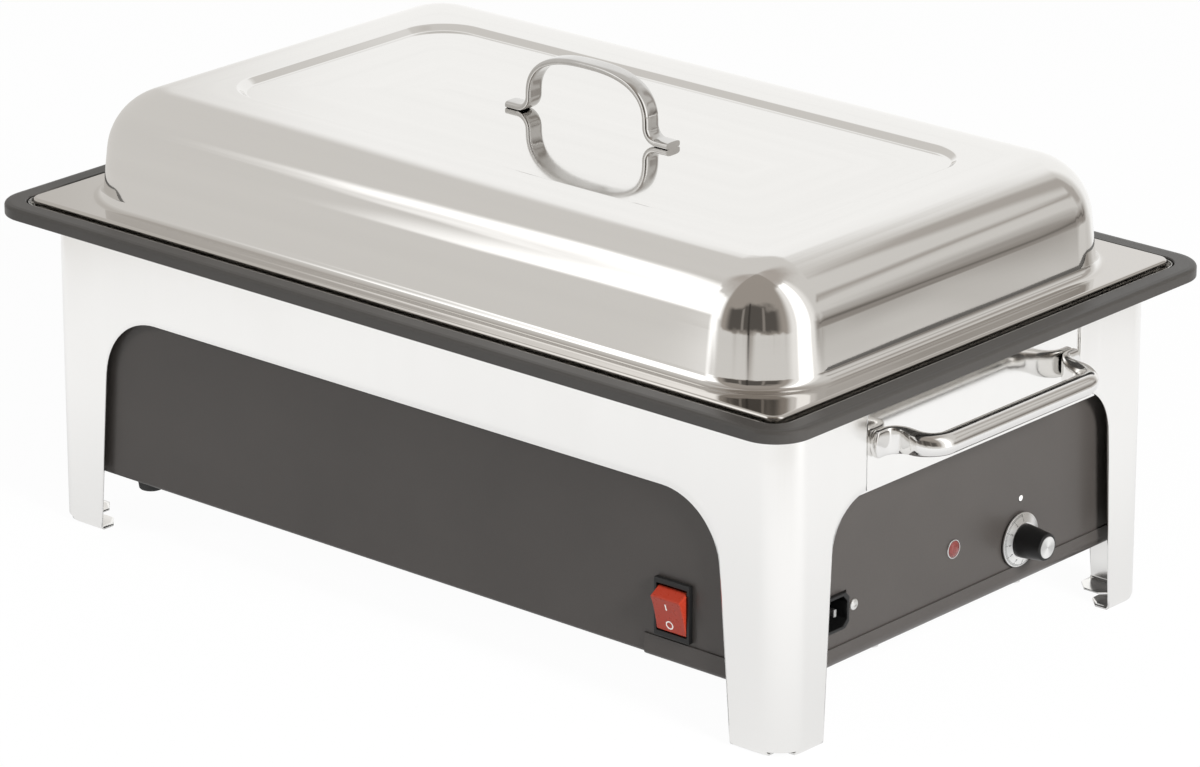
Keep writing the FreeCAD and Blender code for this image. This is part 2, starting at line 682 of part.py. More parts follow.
def hanger_brackets():
    """Straps that hang the housing from the rim, and their rivets."""
    face = HOUSING_HALF_X
    sheet = STAND_SHEET
    brackets = []
    for y in (-100.0, 100.0):
        strap = block(face, face + sheet, y - 12, y + 12, 131, STAND_TOP)
        shelf = block(face, face + 7.4, y - 12, y + 12, STAND_TOP - sheet, STAND_TOP)
        holes = [rod(2.0, (face - 1, ry, rz), (face + 3, ry, rz)) for ry, rz in rivet_places()]
        holes.extend(rod(1.5, (sx, sy, STAND_TOP - 3), (sx, sy, STAND_TOP + 1))
                     for sx, sy in bracket_screw_places())
        brackets.extend(both_ends(cut(join([strap, shelf]), *holes)))
    save("hanger_brackets", *brackets)
    rivets = []
    inner = face - HOUSING_SHEET
    for y, z in rivet_places():
        shank = rod(2.0, (inner, y, z), (face + sheet, y, z))
        head = rod(3.6, (face + sheet, y, z), (face + sheet + 1.4, y, z))
        tail = rod(2.8, (inner - 0.7, y, z), (inner, y, z))
        rivets.extend(both_ends(join([shank, head, tail])))
    save("hanger_rivets", *rivets)


def heating_parts():
    """Spreader plate, tubular element, clamp bars, studs and nuts, and the thermal cut-out."""
    top = TANK_BOTTOM
    under = top - SPREADER_THICKNESS
    plate = slab(SPREADER_HALF_X, SPREADER_HALF_Y, 15.0, under, top)
    save("heat_spreader_plate", plate)
    z = under - ELEMENT_RADIUS
    route = [(196, -18, z), (118, -18, z), (118, -75, z), (-150, -75, z), (-150, 75, z),
             (118, 75, z), (118, 18, z), (196, 18, z)]
    save("heating_element", pipe(route, 22.0, ELEMENT_RADIUS))
    insulators = []
    pins = []
    for y in (-18, 18):
        bead = rod(5.5, (196, y, z), (204, y, z))
        insulators.append(cut(bead, rod(1.6, (195, y, z), (205, y, z))))
        pins.append(join([rod(1.6, (196, y, z), (207, y, z)),
                          block(206, 214, y - 3.1, y + 3.1, z - 0.4, z + 0.4)]))
    save("element_insulators", *insulators)
    save("element_terminals", *pins)
    low = z - ELEMENT_RADIUS
    clamps = []
    fixings = []
    for x in CLAMP_PLACES:
        bar = block(x - 8, x + 8, -88, 88, low - 2, low)
        holes = [rod(2.5, (x, y, low - 3), (x, y, low + 1)) for y in (-45, 45)]
        clamps.append(cut(bar, *holes))
        for y in (-45, 45):
            stud = rod(2.5, (x, y, low - 8), (x, y, under))
            nut = hexagon(8.0, (x, y, low - 6), (x, y, low - 2))
            fixings.append(join([stud, nut]))
    save("element_clamps", *clamps)
    save("clamp_studs", *fixings)
    x = CUT_OUT_X
    disc = rod(8.0, (x, 0, under - 7), (x, 0, under))
    tabs = [block(x + 5, x + CUT_OUT_REACH, side * CUT_OUT_TAB_Y - 2.0, side * CUT_OUT_TAB_Y + 2.0,
                  CUT_OUT_TAB_Z - 0.4, CUT_OUT_TAB_Z + 0.4) for side in (-1, 1)]
    save("thermal_cut_out", join([disc] + tabs))


def insulation():
    """Mineral board on a sheet shield that spans the housing."""
    inner_y = HOUSING_HALF_Y - HOUSING_SHEET
    sheet = 1.0
    deck = block(SHIELD_LEFT, SHIELD_RIGHT, -inner_y, inner_y, SHIELD_Z, SHIELD_Z + sheet)
    skirts = [block(SHIELD_LEFT, SHIELD_RIGHT, min(y, y - side * sheet), max(y, y - side * sheet),
                    SHIELD_Z - 12, SHIELD_Z + sheet)
              for side, y in ((-1, -inner_y), (1, inner_y))]
    save("heat_shield", join([deck] + skirts))
    top = SHIELD_Z + sheet
    save("insulation_board", block(SHIELD_LEFT + 5, SHIELD_RIGHT - 5, -120, 120, top, top + 8))


def thermostat():
    """Regulator behind the right end: case, bush with its nut, sensor bulb and capillary."""
    end = HOUSING_HALF_X
    inner = end - HOUSING_SHEET
    y = KNOB_Y
    z = KNOB_Z
    case_back = inner - 26
    case = block(case_back, inner - 3, y - 19, y + 19, z - 17, z + 17)
    plate = block(inner - 3, inner, y - 19, y + 19, z - 17, z + 17)
    tabs = [block(case_back - 7, case_back, y + side - 3.1, y + side + 3.1, z - 0.4, z + 0.4)
            for side in (-12, 12)]
    bore = rod(SHAFT_RADIUS + RUNNING_FIT, (inner - 14, y, z), (end + 10, y, z))
    save("thermostat_body", cut(join([case, plate] + tabs), bore))
    bush = rod(5.1, (inner, y, z), (end + 2.0, y, z))
    save("thermostat_bush", cut(bush, bore))
    nut = hexagon(13.0, (end, y, z), (end + 1.6, y, z))
    save("thermostat_nut", cut(nut, rod(5.1, (end - 1, y, z), (end + 3, y, z))))
    bulb_z = TANK_BOTTOM - 3.5
    bulb = rod(3.2, (60, -112, bulb_z), (140, -112, bulb_z))
    save("sensor_bulb", bulb)
    clips = []
    for x in (75, 125):
        ring = rod(4.0, (x - 4, -112, bulb_z), (x + 4, -112, bulb_z))
        stem = block(x - 4, x + 4, -112, -104, TANK_BOTTOM - 1.0, TANK_BOTTOM)
        clip = cut(ring.fuse(stem), rod(3.2, (x - 5, -112, bulb_z), (x + 5, -112, bulb_z)),
                   block(x - 5, x + 5, -130, -80, TANK_BOTTOM, TANK_BOTTOM + 5))
        clips.append(clip.removeSplitter())
    save("bulb_clips", *clips)
    entry_x = case_back + 8
    route = [(140, -112, bulb_z), (212, -112, bulb_z), (entry_x, -66, 94), (entry_x, y, 94),
             (entry_x, y, z + 17)]
    save("capillary_tube", pipe(route, 9.0, 0.8))


def knob():
    """Turning parts: dial, grip, cap and the thermostat's shaft."""
    end = HOUSING_HALF_X
    inner = end - HOUSING_SHEET
    y = KNOB_Y
    z = KNOB_Z
    back = end + COVER_SHEET + BODY_GAP
    dial_front = end + 4.0
    grip_front = end + 19.6
    base = rod(DIAL_RADIUS, (back, y, z), (back + 0.9, y, z))
    bevel = cone(DIAL_RADIUS, 9.8, (back + 0.9, y, z), (dial_front, y, z))
    recess = rod(8.6, (back - 1, y, z), (end + 2.5, y, z))
    bore = rod(SHAFT_RADIUS, (back - 1, y, z), (end + 12, y, z))
    save("knob_dial", cut(join([base, bevel]), recess, bore))
    grip = cone(9.25, 7.5, (dial_front, y, z), (grip_front, y, z))
    grip = grip.makeFillet(0.8, [edge for edge in grip.Edges if edge.BoundBox.XMin > grip_front - 0.01])
    cap_seat = rod(6.0, (grip_front - 0.5, y, z), (grip_front + 1, y, z))
    save("knob_grip", cut(grip, bore, cap_seat))
    save("knob_cap", rod(6.0, (grip_front - 0.5, y, z), (grip_front + 0.3, y, z)))
    save("thermostat_shaft", rod(SHAFT_RADIUS, (inner - 13, y, z), (end + 12, y, z)))


def indicator():
    """Lamp on the right end: bezel, lens and the body with its nut."""
    end = HOUSING_HALF_X
    inner = end - HOUSING_SHEET
    y = LAMP_Y
    z = LAMP_Z
    bezel = rod(5.3, (end, y, z), (end + 1.0, y, z))
    neck = rod(4.2, (inner - 6, y, z), (end, y, z))
    hollow = rod(3.6, (inner - 7, y, z), (end + 2, y, z))
    save("indicator_bezel", cut(join([bezel, neck]), hollow))
    ball = Part.makeSphere(6.0, V(end - 3.4, y, z))
    lens = rod(3.6, (end - 4, y, z), (end + 4, y, z)).common(ball)
    save("indicator_lens", lens.common(block(end - 4, end + 4, y - 5, y + 5, z - 5, z + 5)))
    body = rod(3.5, (inner - 14, y, z), (end - 4, y, z))
    legs = [rod(0.7, (inner - 18, y + side, z), (inner - 14, y + side, z)) for side in (-1.8, 1.8)]
    save("indicator_lamp", join([body] + legs))
    nut = hexagon(11.0, (inner - 2.6, y, z), (inner, y, z))
    save("indicator_nut", cut(nut, rod(4.2, (inner - 5, y, z), (inner + 2, y, z))))


def power_inlet():
    """Mains socket for a removable lead, fixed from behind with two screws."""
    end = HOUSING_HALF_X
    inner = end - HOUSING_SHEET
    y = INLET_Y
    z = INLET_Z
    depth = 24.0

    def outline(half_y, half_z, slant, x, length):
        low = -half_z + slant
        high = half_z - slant
        points = [(x, y - half_y, z - half_z), (x, y + half_y - slant, z - half_z),
                  (x, y + half_y, z + low), (x, y + half_y, z + high),
                  (x, y + half_y - slant, z + half_z), (x, y - half_y, z + half_z)]
        return prism(points, (length, 0, 0))

    collar = outline(14.0, 10.0, 3.0, inner, end + 2.4 - inner)
    shell = outline(13.2, 9.4, 3.0, end - depth, depth)
    flange = block(inner - 2.0, inner, y - 25, y + 25, z - 11, z + 11)
    socket = outline(12.1, 8.2, 3.2, end + 2.4 - 17, 18)
    screw_holes = [rod(1.75, (inner - 6, y + side, z), (inner + 1, y + side, z))
                   for side in (-INLET_SCREW_PITCH / 2, INLET_SCREW_PITCH / 2)]
    blades = []
    back = end - depth - 6
    for dy, dz, half_y, half_z in ((-7, -1.6, 1.0, 2.0), (7, -1.6, 1.0, 2.0), (0, 2.4, 1.0, 2.0)):
        blades.append(block(back, end - 1.5, y + dy - half_y, y + dy + half_y,
                            z + dz - half_z, z + dz + half_z))
    body = cut(join([collar, shell, flange]), socket, *(screw_holes + blades))
    save("power_inlet", body)
    save("inlet_blades", *blades)
    screws = []
    for side in (-INLET_SCREW_PITCH / 2, INLET_SCREW_PITCH / 2):
        shank = rod(1.75, (inner - 5, y + side, z), (end, y + side, z))
        head = rod(3.1, (end, y + side, z), (end + 1.3, y + side, z))
        nut = hexagon(5.5, (inner - 4.4, y + side, z), (inner - 2.0, y + side, z))
        screws.append(join([shank, head, nut]))
    save("inlet_screws", *screws)


def switch():
    """Rocker switch on the front: frame and body, terminals, and the tilting rocker."""
    x = SWITCH_X
    z = SWITCH_Z
    front = -HOUSING_HALF_Y
    pivot = SWITCH_PIVOT_Y
    face = front - SWITCH_FRAME_OUT
    frame = block(x - 11.9, x + 11.9, face, front, z - 16, z + 16)
    frame = frame.makeChamfer(0.5, [edge for edge in frame.Edges
                                    if edge.BoundBox.YMax < face + 0.01])
    body = block(x - 11, x + 11, front, front + 22, z - 14.2, z + 14.2)
    well = block(x - 10.2, x + 10.2, face - 1, front + 11, z - 13.0, z + 13.0)
    pins = rod(1.5 + RUNNING_FIT, (x - 10.8, pivot, z), (x + 10.8, pivot, z))
    save("switch_body", cut(join([frame, body]), well, pins))
    tabs = [block(x + dx - 2.4, x + dx + 2.4, front + 22, front + 30, z + dz - 0.4, z + dz + 0.4)
            for dx in (-5.5, 5.5) for dz in (-7.0, 7.0)]
    save("switch_terminals", *tabs)
    touch = pivot - ROCKER_FACE_OUT
    reach = 10.4
    profile = [(x - 9.9, touch, z + reach), (x - 9.9, touch + 0.5, z), (x - 9.9, touch, z - reach),
               (x - 9.9, pivot - 1.0, z - 12.6), (x - 9.9, pivot + 2.5, z - 4.0),
               (x - 9.9, pivot + 2.5, z + 4.0), (x - 9.9, pivot - 1.0, z + 12.6)]
    paddle = prism(profile, (19.8, 0, 0))
    trunnion = rod(1.5, (x - 10.6, pivot, z), (x + 10.6, pivot, z))
    rocker = join([paddle, trunnion])
    rocker.rotate(V(x, pivot, z), X_AXIS, ROCKER_TILT)
    save("switch_rocker", rocker)


def wiring():
    """Terminal block, earth stud and the leads between the electrical parts."""
    floor = HOUSING_BOTTOM + HOUSING_SHEET
    block_x = 160.0
    block_face = block_x + 9
    block_body = block(block_x - 9, block_face, -30, 30, floor, floor + 16)
    ways = (-20.0, 0.0, 20.0)
    wells = [rod(2.6, (block_x, y, floor + 8), (block_x, y, floor + 20)) for y in ways]
    save("terminal_block", cut(block_body, *wells))
    save("terminal_screws", *[rod(2.3, (block_x, y, floor + 8), (block_x, y, floor + 14)) for y in ways])
    earth_x = 217.0
    earth_y = -66.0
    lug_z = 41.0
    stud = rod(2.0, (earth_x, earth_y, floor), (earth_x, earth_y, lug_z + 6))
    low_nut = hexagon(7.0, (earth_x, earth_y, lug_z - 3), (earth_x, earth_y, lug_z))
    lug = rod(4.5, (earth_x, earth_y, lug_z), (earth_x, earth_y, lug_z + 1.2))
    barrel = rod(1.9, (earth_x, earth_y - 9, lug_z + 1.9), (earth_x, earth_y - 4.2, lug_z + 1.9))
    high_nut = hexagon(7.0, (earth_x, earth_y, lug_z + 1.2), (earth_x, earth_y, lug_z + 4.2))
    save("earth_stud", join([stud, low_nut, lug, barrel, high_nut]))
    inlet_back = HOUSING_HALF_X - 30.0
    blade_z = INLET_Z - 1.6
    switch_back = 30.0 - HOUSING_HALF_Y
    left = SWITCH_X - 5.5
    right = SWITCH_X + 5.5
    upper = SWITCH_Z + 7.0
    lower = SWITCH_Z - 7.0
    regulator = HOUSING_HALF_X - HOUSING_SHEET - 33
    element_x = 214.0
    element_z = TANK_BOTTOM - SPREADER_THICKNESS - ELEMENT_RADIUS
    cut_out = CUT_OUT_X + CUT_OUT_REACH
    lamp_back = HOUSING_HALF_X - HOUSING_SHEET - 18
    row_high = floor + 11.3
    row_low = floor + 5.8
    row_floor = floor + 3.3
    live = [
        [(inlet_back, INLET_Y - 7, blade_z), (208, INLET_Y - 7, blade_z), (right, -100, upper),
         (right, switch_back, upper)],
        [(right, switch_back, lower), (right, -98, lower), (208, -75, lower),
         (208, KNOB_Y - 12, KNOB_Z), (regulator, KNOB_Y - 12, KNOB_Z)],
        [(regulator, KNOB_Y + 12, KNOB_Z), (205, KNOB_Y + 12, KNOB_Z), (186, 20, row_low),
         (block_face, 20, row_low)],
        [(block_face, 20, row_high), (179, 20, row_high), (179, CUT_OUT_TAB_Y, CUT_OUT_TAB_Z),
         (cut_out, CUT_OUT_TAB_Y, CUT_OUT_TAB_Z)],
        [(cut_out, -CUT_OUT_TAB_Y, CUT_OUT_TAB_Z), (227, -CUT_OUT_TAB_Y, CUT_OUT_TAB_Z),
         (227, -18, element_z), (element_x, -18, element_z)],
        [(lamp_back, LAMP_Y + 1.8, LAMP_Z), (218, LAMP_Y + 1.8, LAMP_Z), (218, 14, row_floor),
         (block_face, 14, row_floor)],
    ]
    neutral = [
        [(inlet_back, INLET_Y + 7, blade_z), (214, INLET_Y + 7, blade_z), (200, -82, upper),
         (left, -82, upper), (left, switch_back, upper)],
        [(left, switch_back, lower), (left, -96, lower), (181, 0, row_low), (block_face, 0, row_low)],
        [(block_face, 0, row_high), (188, 0, row_high), (198, 12, 86), (228, 18, 86),
         (228, 18, element_z), (element_x, 18, element_z)],
        [(lamp_back, LAMP_Y - 1.8, LAMP_Z), (223, LAMP_Y - 1.8, LAMP_Z), (223, -8, row_floor),
         (block_face, -8, row_floor)],
    ]
    earth = [
        [(inlet_back, INLET_Y, INLET_Z + 2.4), (earth_x, INLET_Y, INLET_Z + 2.4),
         (earth_x, INLET_Y, lug_z + 1.9), (earth_x, earth_y - 9, lug_z + 1.9)],
    ]
    save("live_leads", *[pipe(route, LEAD_BEND, LEAD_RADIUS) for route in live])
    save("neutral_leads", *[pipe(route, LEAD_BEND, LEAD_RADIUS) for route in neutral])
    save("earth_lead", *[pipe(route, LEAD_BEND, LEAD_RADIUS) for route in earth])


def main():
    os.makedirs("parts", exist_ok=True)
    stand_panels()
    carry_handles()
    plastic_rim()
    rim_screws()
    water_tank()
    food_pan()
    lid_shell()
    lid_handle()
    heater_housing()
    bottom_cover()
    housing_feet()
    hanger_brackets()
    heating_parts()
    insulation()
    thermostat()
    knob()
    indicator()
    power_inlet()
    switch()
    wiring()


main()
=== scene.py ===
"""Electric chafing dish: the visible pieces and their finishes, built round the packed frame.

Metres, +Z up. +X is the end with the thermostat knob, -Y the front with the switch.
"""
import math

import bmesh
import bpy
import numpy as np
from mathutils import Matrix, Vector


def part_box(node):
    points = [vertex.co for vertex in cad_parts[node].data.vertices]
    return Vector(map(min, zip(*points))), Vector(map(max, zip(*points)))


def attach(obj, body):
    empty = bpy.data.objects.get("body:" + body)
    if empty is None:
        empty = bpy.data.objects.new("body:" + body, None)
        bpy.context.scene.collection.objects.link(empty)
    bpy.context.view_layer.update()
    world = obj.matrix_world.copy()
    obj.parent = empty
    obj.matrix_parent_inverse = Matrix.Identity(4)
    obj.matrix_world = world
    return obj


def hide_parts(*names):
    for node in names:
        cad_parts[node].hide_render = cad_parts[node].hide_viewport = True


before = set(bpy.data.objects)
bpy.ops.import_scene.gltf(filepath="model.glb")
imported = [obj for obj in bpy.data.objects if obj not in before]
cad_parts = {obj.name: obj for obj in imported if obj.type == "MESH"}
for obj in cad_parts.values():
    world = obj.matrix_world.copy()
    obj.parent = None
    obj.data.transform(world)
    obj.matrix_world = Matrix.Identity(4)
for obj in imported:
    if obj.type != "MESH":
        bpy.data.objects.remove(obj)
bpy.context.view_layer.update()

bl_info = {
    "name": "Electric chafing dish",
    "version": (1, 0, 0),
    "blender": (4, 5, 0),
    "location": "3D View > Sidebar > Chafing dish",
    "description": "Builds the visible pieces of an electric chafing dish and a plain studio",
    "category": "Object",
}

BEVEL_SEGMENTS = 3
JOIN_DISTANCE = 2e-6
MARK_JOIN_DISTANCE = 1e-7
SLIVER_LENGTH = 1e-7
NO_TURN = 0.001


def reach(node, axis):
    """How far a node of the frame reaches along an axis, on its positive side."""
    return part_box(node)[1][axis]


# Sizes and colours


def size(name, description, default):
    """A length that the user can change."""
    return bpy.props.FloatProperty(name=name, description=description, default=default,
                                   precision=4, unit="LENGTH", subtype="DISTANCE")


def colour(name, description, default):
    """A plain colour that the user can change."""
    return bpy.props.FloatVectorProperty(name=name, description=description, default=default,
                                         size=3, min=0.0, max=1.0, subtype="COLOR")


def share(name, description, default):
    """A number between nothing and one."""
    return bpy.props.FloatProperty(name=name, description=description, default=default,
                                   min=0.0, max=1.0, subtype="FACTOR")


class StandSizes(bpy.types.PropertyGroup):
    """Sizes of the stand's bent panels."""
    half_length: size("Half length", "From the middle to the outside of the legs, along X",
                      reach("right_end_panel", 0) + 0.0012)
    half_width: size("Half width", "From the middle to the outside of the legs, along Y", 0.1535)
    top: size("Top", "Height of the turned-out flange", reach("right_end_panel", 2))
    corner: size("Corner radius", "Bend between the front and the ends", 0.017)
    sheet: size("Sheet", "Thickness of the stand's sheet", 0.0012)
    flange: size("Flange", "How far the top is turned out", 0.007)
    flange_bend: size("Flange bend", "Radius of the bend into the flange", 0.0012)
    seam: size("Seam", "Where the wrap ends on the end panel, along Y", 0.089)
    front_half: size("Front arch", "Half the front arch's width at the ground", 0.229)
    front_top: size("Front arch top", "Height of the front arch", 0.131)
    front_round: size("Front arch radius", "Rounding of the front arch's top corners", 0.039)
    end_half: size("End arch", "Half the end arch's width at the ground", 0.1215)
    end_top: size("Front end arch top", "Height of the end arch in the front panel", 0.1298)
    rear_end_top: size("Rear end arch top", "Height of the end arch in the rear panel", 0.134)
    end_round: size("End arch radius", "Rounding of the end arch's top corners", 0.029)
    front_lean: share("Front lean", "How much the front legs narrow for each unit of height", 0.08)
    end_lean: share("End lean", "How much the end legs narrow for each unit of height", 0.05)
    foot_bend: size("Foot bend", "Radius of the bend into the feet", 0.0026)
    foot_reach: size("Foot reach", "How far the feet are turned in", 0.0165)
    foot_slant: size("Foot slant", "Slanted tips of the feet", 0.007)
    foot_gap: size("Foot gap", "From the corner's extreme to where the feet start", 0.012)


class RimSizes(bpy.types.PropertyGroup):
    """Sizes of the moulded rim."""
    half_length: size("Half length", "Outside of the rim along X", reach("plastic_rim", 0))
    half_width: size("Half width", "Outside of the rim along Y", reach("plastic_rim", 1))
    corner: size("Corner radius", "Outside corner", 0.022)
    bottom: size("Bottom", "Lower edge of the skirt", 0.1812)
    top: size("Top", "Height of the rim", reach("plastic_rim", 2))
    border: size("Border", "Width of the raised border", 0.0114)
    wall: size("Wall", "Thickness of the moulding", 0.0025)
    floor: size("Recess floor", "Height of the recess that the tank's flange lies in", 0.181)
    shelf: size("Shelf", "Underside of the rim, on the stand", 0.1785)


class TankSizes(bpy.types.PropertyGroup):
    """Sizes of the water tank."""
    half_length: size("Half length", "Inside of the upturned edge along X", 0.27)
    half_width: size("Half width", "Inside of the upturned edge along Y", 0.1675)
    edge_top: size("Edge", "Height of the upturned edge", reach("water_tank", 2))
    flange: size("Flange", "Height of the flange", 0.1819)
    waist: size("Waist", "Height where the wall steepens", 0.150)
    floor: size("Floor", "Height of the tank's floor", 0.1069)
    sheet: size("Sheet", "Thickness of the tank's sheet", 0.0009)


class PanSizes(bpy.types.PropertyGroup):
    """Sizes of the food pan."""
    half_length: size("Half length", "Outside of the flange along X", reach("food_pan", 0))
    half_width: size("Half width", "Outside of the flange along Y", reach("food_pan", 1))
    top: size("Top", "Height of the flange", reach("food_pan", 2))
    lip: size("Lip", "Lower edge of the turned-down flange", 0.1823)
    floor: size("Floor", "Height of the pan's floor", 0.1241)
    sheet: size("Sheet", "Thickness of the pan's sheet", 0.0009)


class LidSizes(bpy.types.PropertyGroup):
    """Sizes of the domed lid."""
    half_length: size("Half length", "Outside of the flange along X", 0.267)
    half_width: size("Half width", "Outside of the flange along Y", 0.165)
    flange: size("Flange", "Height of the flange", 0.1902)
    lip: size("Lip", "Lower edge of the turned-down flange", 0.1828)
    foot_length: size("Dome half length", "Half length of the dome at its foot", 0.2512)
    foot_width: size("Dome half width", "Half width of the dome at its foot", 0.1492)
    top: size("Top", "Height of the dome", reach("lid_shell", 2))
    draft: size("Draft", "How much the dome's wall leans in", 0.0066)
    shoulder: size("Shoulder", "Rounding between wall and top", 0.036)
    panel_length: size("Panel half length", "Half length of the sunk panel", 0.194)
    panel_width: size("Panel half width", "Half width of the sunk panel", 0.090)
    panel_depth: size("Panel depth", "Depth of the sunk panel", 0.003)
    sheet: size("Sheet", "Thickness of the lid's sheet", 0.0009)


class HandleSizes(bpy.types.PropertyGroup):
    """Sizes of the bow handle and the carry handles."""
    bow_half_span: size("Bow half span", "From the middle to the end of a foot", 0.0578)
    bow_half_width: size("Bow half width", "From the middle to the bow's side", 0.042)
    bow_width: size("Bow strap", "Width of the strap", 0.011)
    bow_thickness: size("Bow thickness", "Thickness of the strap", 0.0038)
    bow_top: size("Bow top", "Height of the bow", 0.284)
    bow_foot_bend: size("Bow foot bend", "Bend between foot and bow", 0.0075)
    grip_radius: size("Grip radius", "Radius of the carry handle's bar", 0.0061)
    grip_offset: size("Grip offset", "Bar's middle along X", 0.2908)
    grip_height: size("Grip height", "Bar's middle above the ground", 0.1532)
    neck: size("Neck", "Where the neck leaves the panel, along Y", 0.0685)
    neck_bend: size("Neck bend", "Bend from the paddle into the neck", 0.0095)
    bar_bend: size("Bar bend", "Bend from the neck into the bar", 0.0125)
    paddle_end: size("Paddle end", "Tip of the paddle along Y", 0.0855)
    paddle_height: size("Paddle height", "Height of the flattened end", 0.015)
    paddle_thickness: size("Paddle thickness", "Thickness of the flattened end", 0.0042)
    paddle_arc: size("Paddle tip", "How far the paddle's rounded tip reaches", 0.0032)


class ControlSizes(bpy.types.PropertyGroup):
    """Sizes and places of knob, lamp, inlet, switch and feet."""
    knob_y: size("Knob place", "Knob's axis along Y", 0.052)
    knob_z: size("Knob height", "Knob's axis above the ground", 0.0595)
    dial_radius: size("Dial radius", "Radius of the numbered dial", 0.0150)
    grip_foot: size("Knob grip foot", "Radius of the knob's grip at the dial", 0.00925)
    grip_tip: size("Knob grip tip", "Radius of the knob's grip at its tip", 0.0075)
    dot_radius: size("Index dot", "Radius of the index dot above the dial", 0.0016)
    dot_aside: size("Index dot place", "From the knob's axis to the index dot, along Y", 0.0015)
    dot_above: size("Index dot height", "From the knob's axis up to the index dot", 0.0225)
    lamp_y: size("Lamp place", "Lamp's axis along Y", -0.0039)
    lamp_z: size("Lamp height", "Lamp's axis above the ground", 0.0702)
    inlet_y: size("Inlet place", "Inlet's middle along Y", -0.106)
    inlet_z: size("Inlet height", "Inlet's middle above the ground", 0.064)
    switch_x: size("Switch place", "Switch's middle along X", 0.188)
    switch_z: size("Switch height", "Switch's middle above the ground", 0.0627)
    rocker_tilt: bpy.props.FloatProperty(name="Rocker tilt", description="How far the rocker leans",
                                         default=math.radians(15.2), unit="ROTATION", subtype="ANGLE")
    rocker_y: size("Rocker's axis", "Axis that the rocker tips on, along Y", -0.146)
    frame_out: size("Switch frame", "How far the switch's frame stands out", 0.003)
    rocker_out: size("Rocker", "From the rocker's axis to its face", 0.0088)
    foot_radius: size("Rubber foot", "Radius of a rubber foot", 0.008)
    foot_height: size("Rubber foot height", "Height of a rubber foot", 0.0083)


class FinishColours(bpy.types.PropertyGroup):
    """Colours of the finishes."""
    polished: colour("Polished steel", "Lid and handles", (0.82, 0.812, 0.80))
    satin: colour("Satin steel", "Stand, end panels, tank and pan", (0.915, 0.908, 0.893))
    rim: colour("Rim", "Moulded rim", (0.040, 0.037, 0.034))
    powder: colour("Powder coat", "Heater housing and cover", (0.056, 0.050, 0.046))
    red: colour("Rocker", "Red of the rocker", (0.34, 0.034, 0.016))
    lens: colour("Lamp lens", "Red of the indicator lamp", (0.15, 0.026, 0.022))
    black: colour("Black plastic", "Knob grip, switch frame and inlet", (0.006, 0.006, 0.006))
    print_white: colour("White print", "Marks on the rocker and the index dot", (0.80, 0.78, 0.75))
    print_black: colour("Black print", "Marks on the dial", (0.03, 0.03, 0.03))


class StudioSettings(bpy.types.PropertyGroup):
    """Camera, lamps and floor."""
    lens: bpy.props.FloatProperty(name="Lens", description="Focal length in millimetres", default=184.29)
    azimuth: bpy.props.FloatProperty(name="Azimuth", description="Camera's turn from the front",
                                     default=math.radians(41.29), unit="ROTATION", subtype="ANGLE")
    elevation: bpy.props.FloatProperty(name="Elevation", description="Camera's height angle",
                                       default=math.radians(19.92), unit="ROTATION", subtype="ANGLE")
    distance: size("Distance", "From the camera to the point that it looks at", 3.33779)
    target: bpy.props.FloatVectorProperty(name="Target", description="Point that the camera looks at",
                                          default=(0.01386, -0.00892, 0.10577), size=3,
                                          unit="LENGTH", subtype="XYZ")
    floor_half: size("Floor", "Half the floor's width", 9.0)
    paper_radius: size("Paper", "How far the white paper reaches, as the steel mirrors it", 0.78)
    wall_distance: size("Walls", "Distance of the walls that the steel mirrors", 1.5)
    mirror_height: size("Mirror height", "Height from which the walls' angles count", 0.22)
    world_light: share("World light", "Plain light from all round", 0.15)
    key_power: bpy.props.FloatProperty(name="Key lamp", description="Power of the lamp on the right",
                                       default=122.0, min=0.0, unit="POWER")
    fill_power: bpy.props.FloatProperty(name="Fill lamp", description="Power of the lamp on the left",
                                        default=35.0, min=0.0, unit="POWER")


# Surfaces


def grid_faces(rows, columns, close_rows, close_columns):
    """Quads between neighbouring points of a grid, and the grid cell of each.

    A closed direction joins its last line of points to its first.
    """
    down = np.arange(rows if close_rows else rows - 1)
    across = np.arange(columns if close_columns else columns - 1)
    row, column = (part.ravel() for part in np.meshgrid(down, across, indexing="ij"))
    next_row = (row + 1) % rows
    next_column = (column + 1) % columns
    faces = np.stack([row * columns + column, row * columns + next_column,
                      next_row * columns + next_column, next_row * columns + column], axis=-1)
    return faces, row, column


def grid_lengths(points, close_rows, close_columns):
    """Distance travelled along the longest row, and along the rows' mean, at each grid line."""
    around = np.concatenate([points, points[:, :1]], axis=1) if close_columns else points
    steps = np.linalg.norm(np.diff(around, axis=1), axis=-1)
    longest = steps[np.argmax(steps.sum(axis=1))]
    down = np.concatenate([points, points[:1]], axis=0) if close_rows else points
    rise = np.linalg.norm(np.diff(down, axis=0), axis=-1).mean(axis=1)
    return (np.concatenate([[0.0], np.cumsum(longest)]), np.concatenate([[0.0], np.cumsum(rise)]))


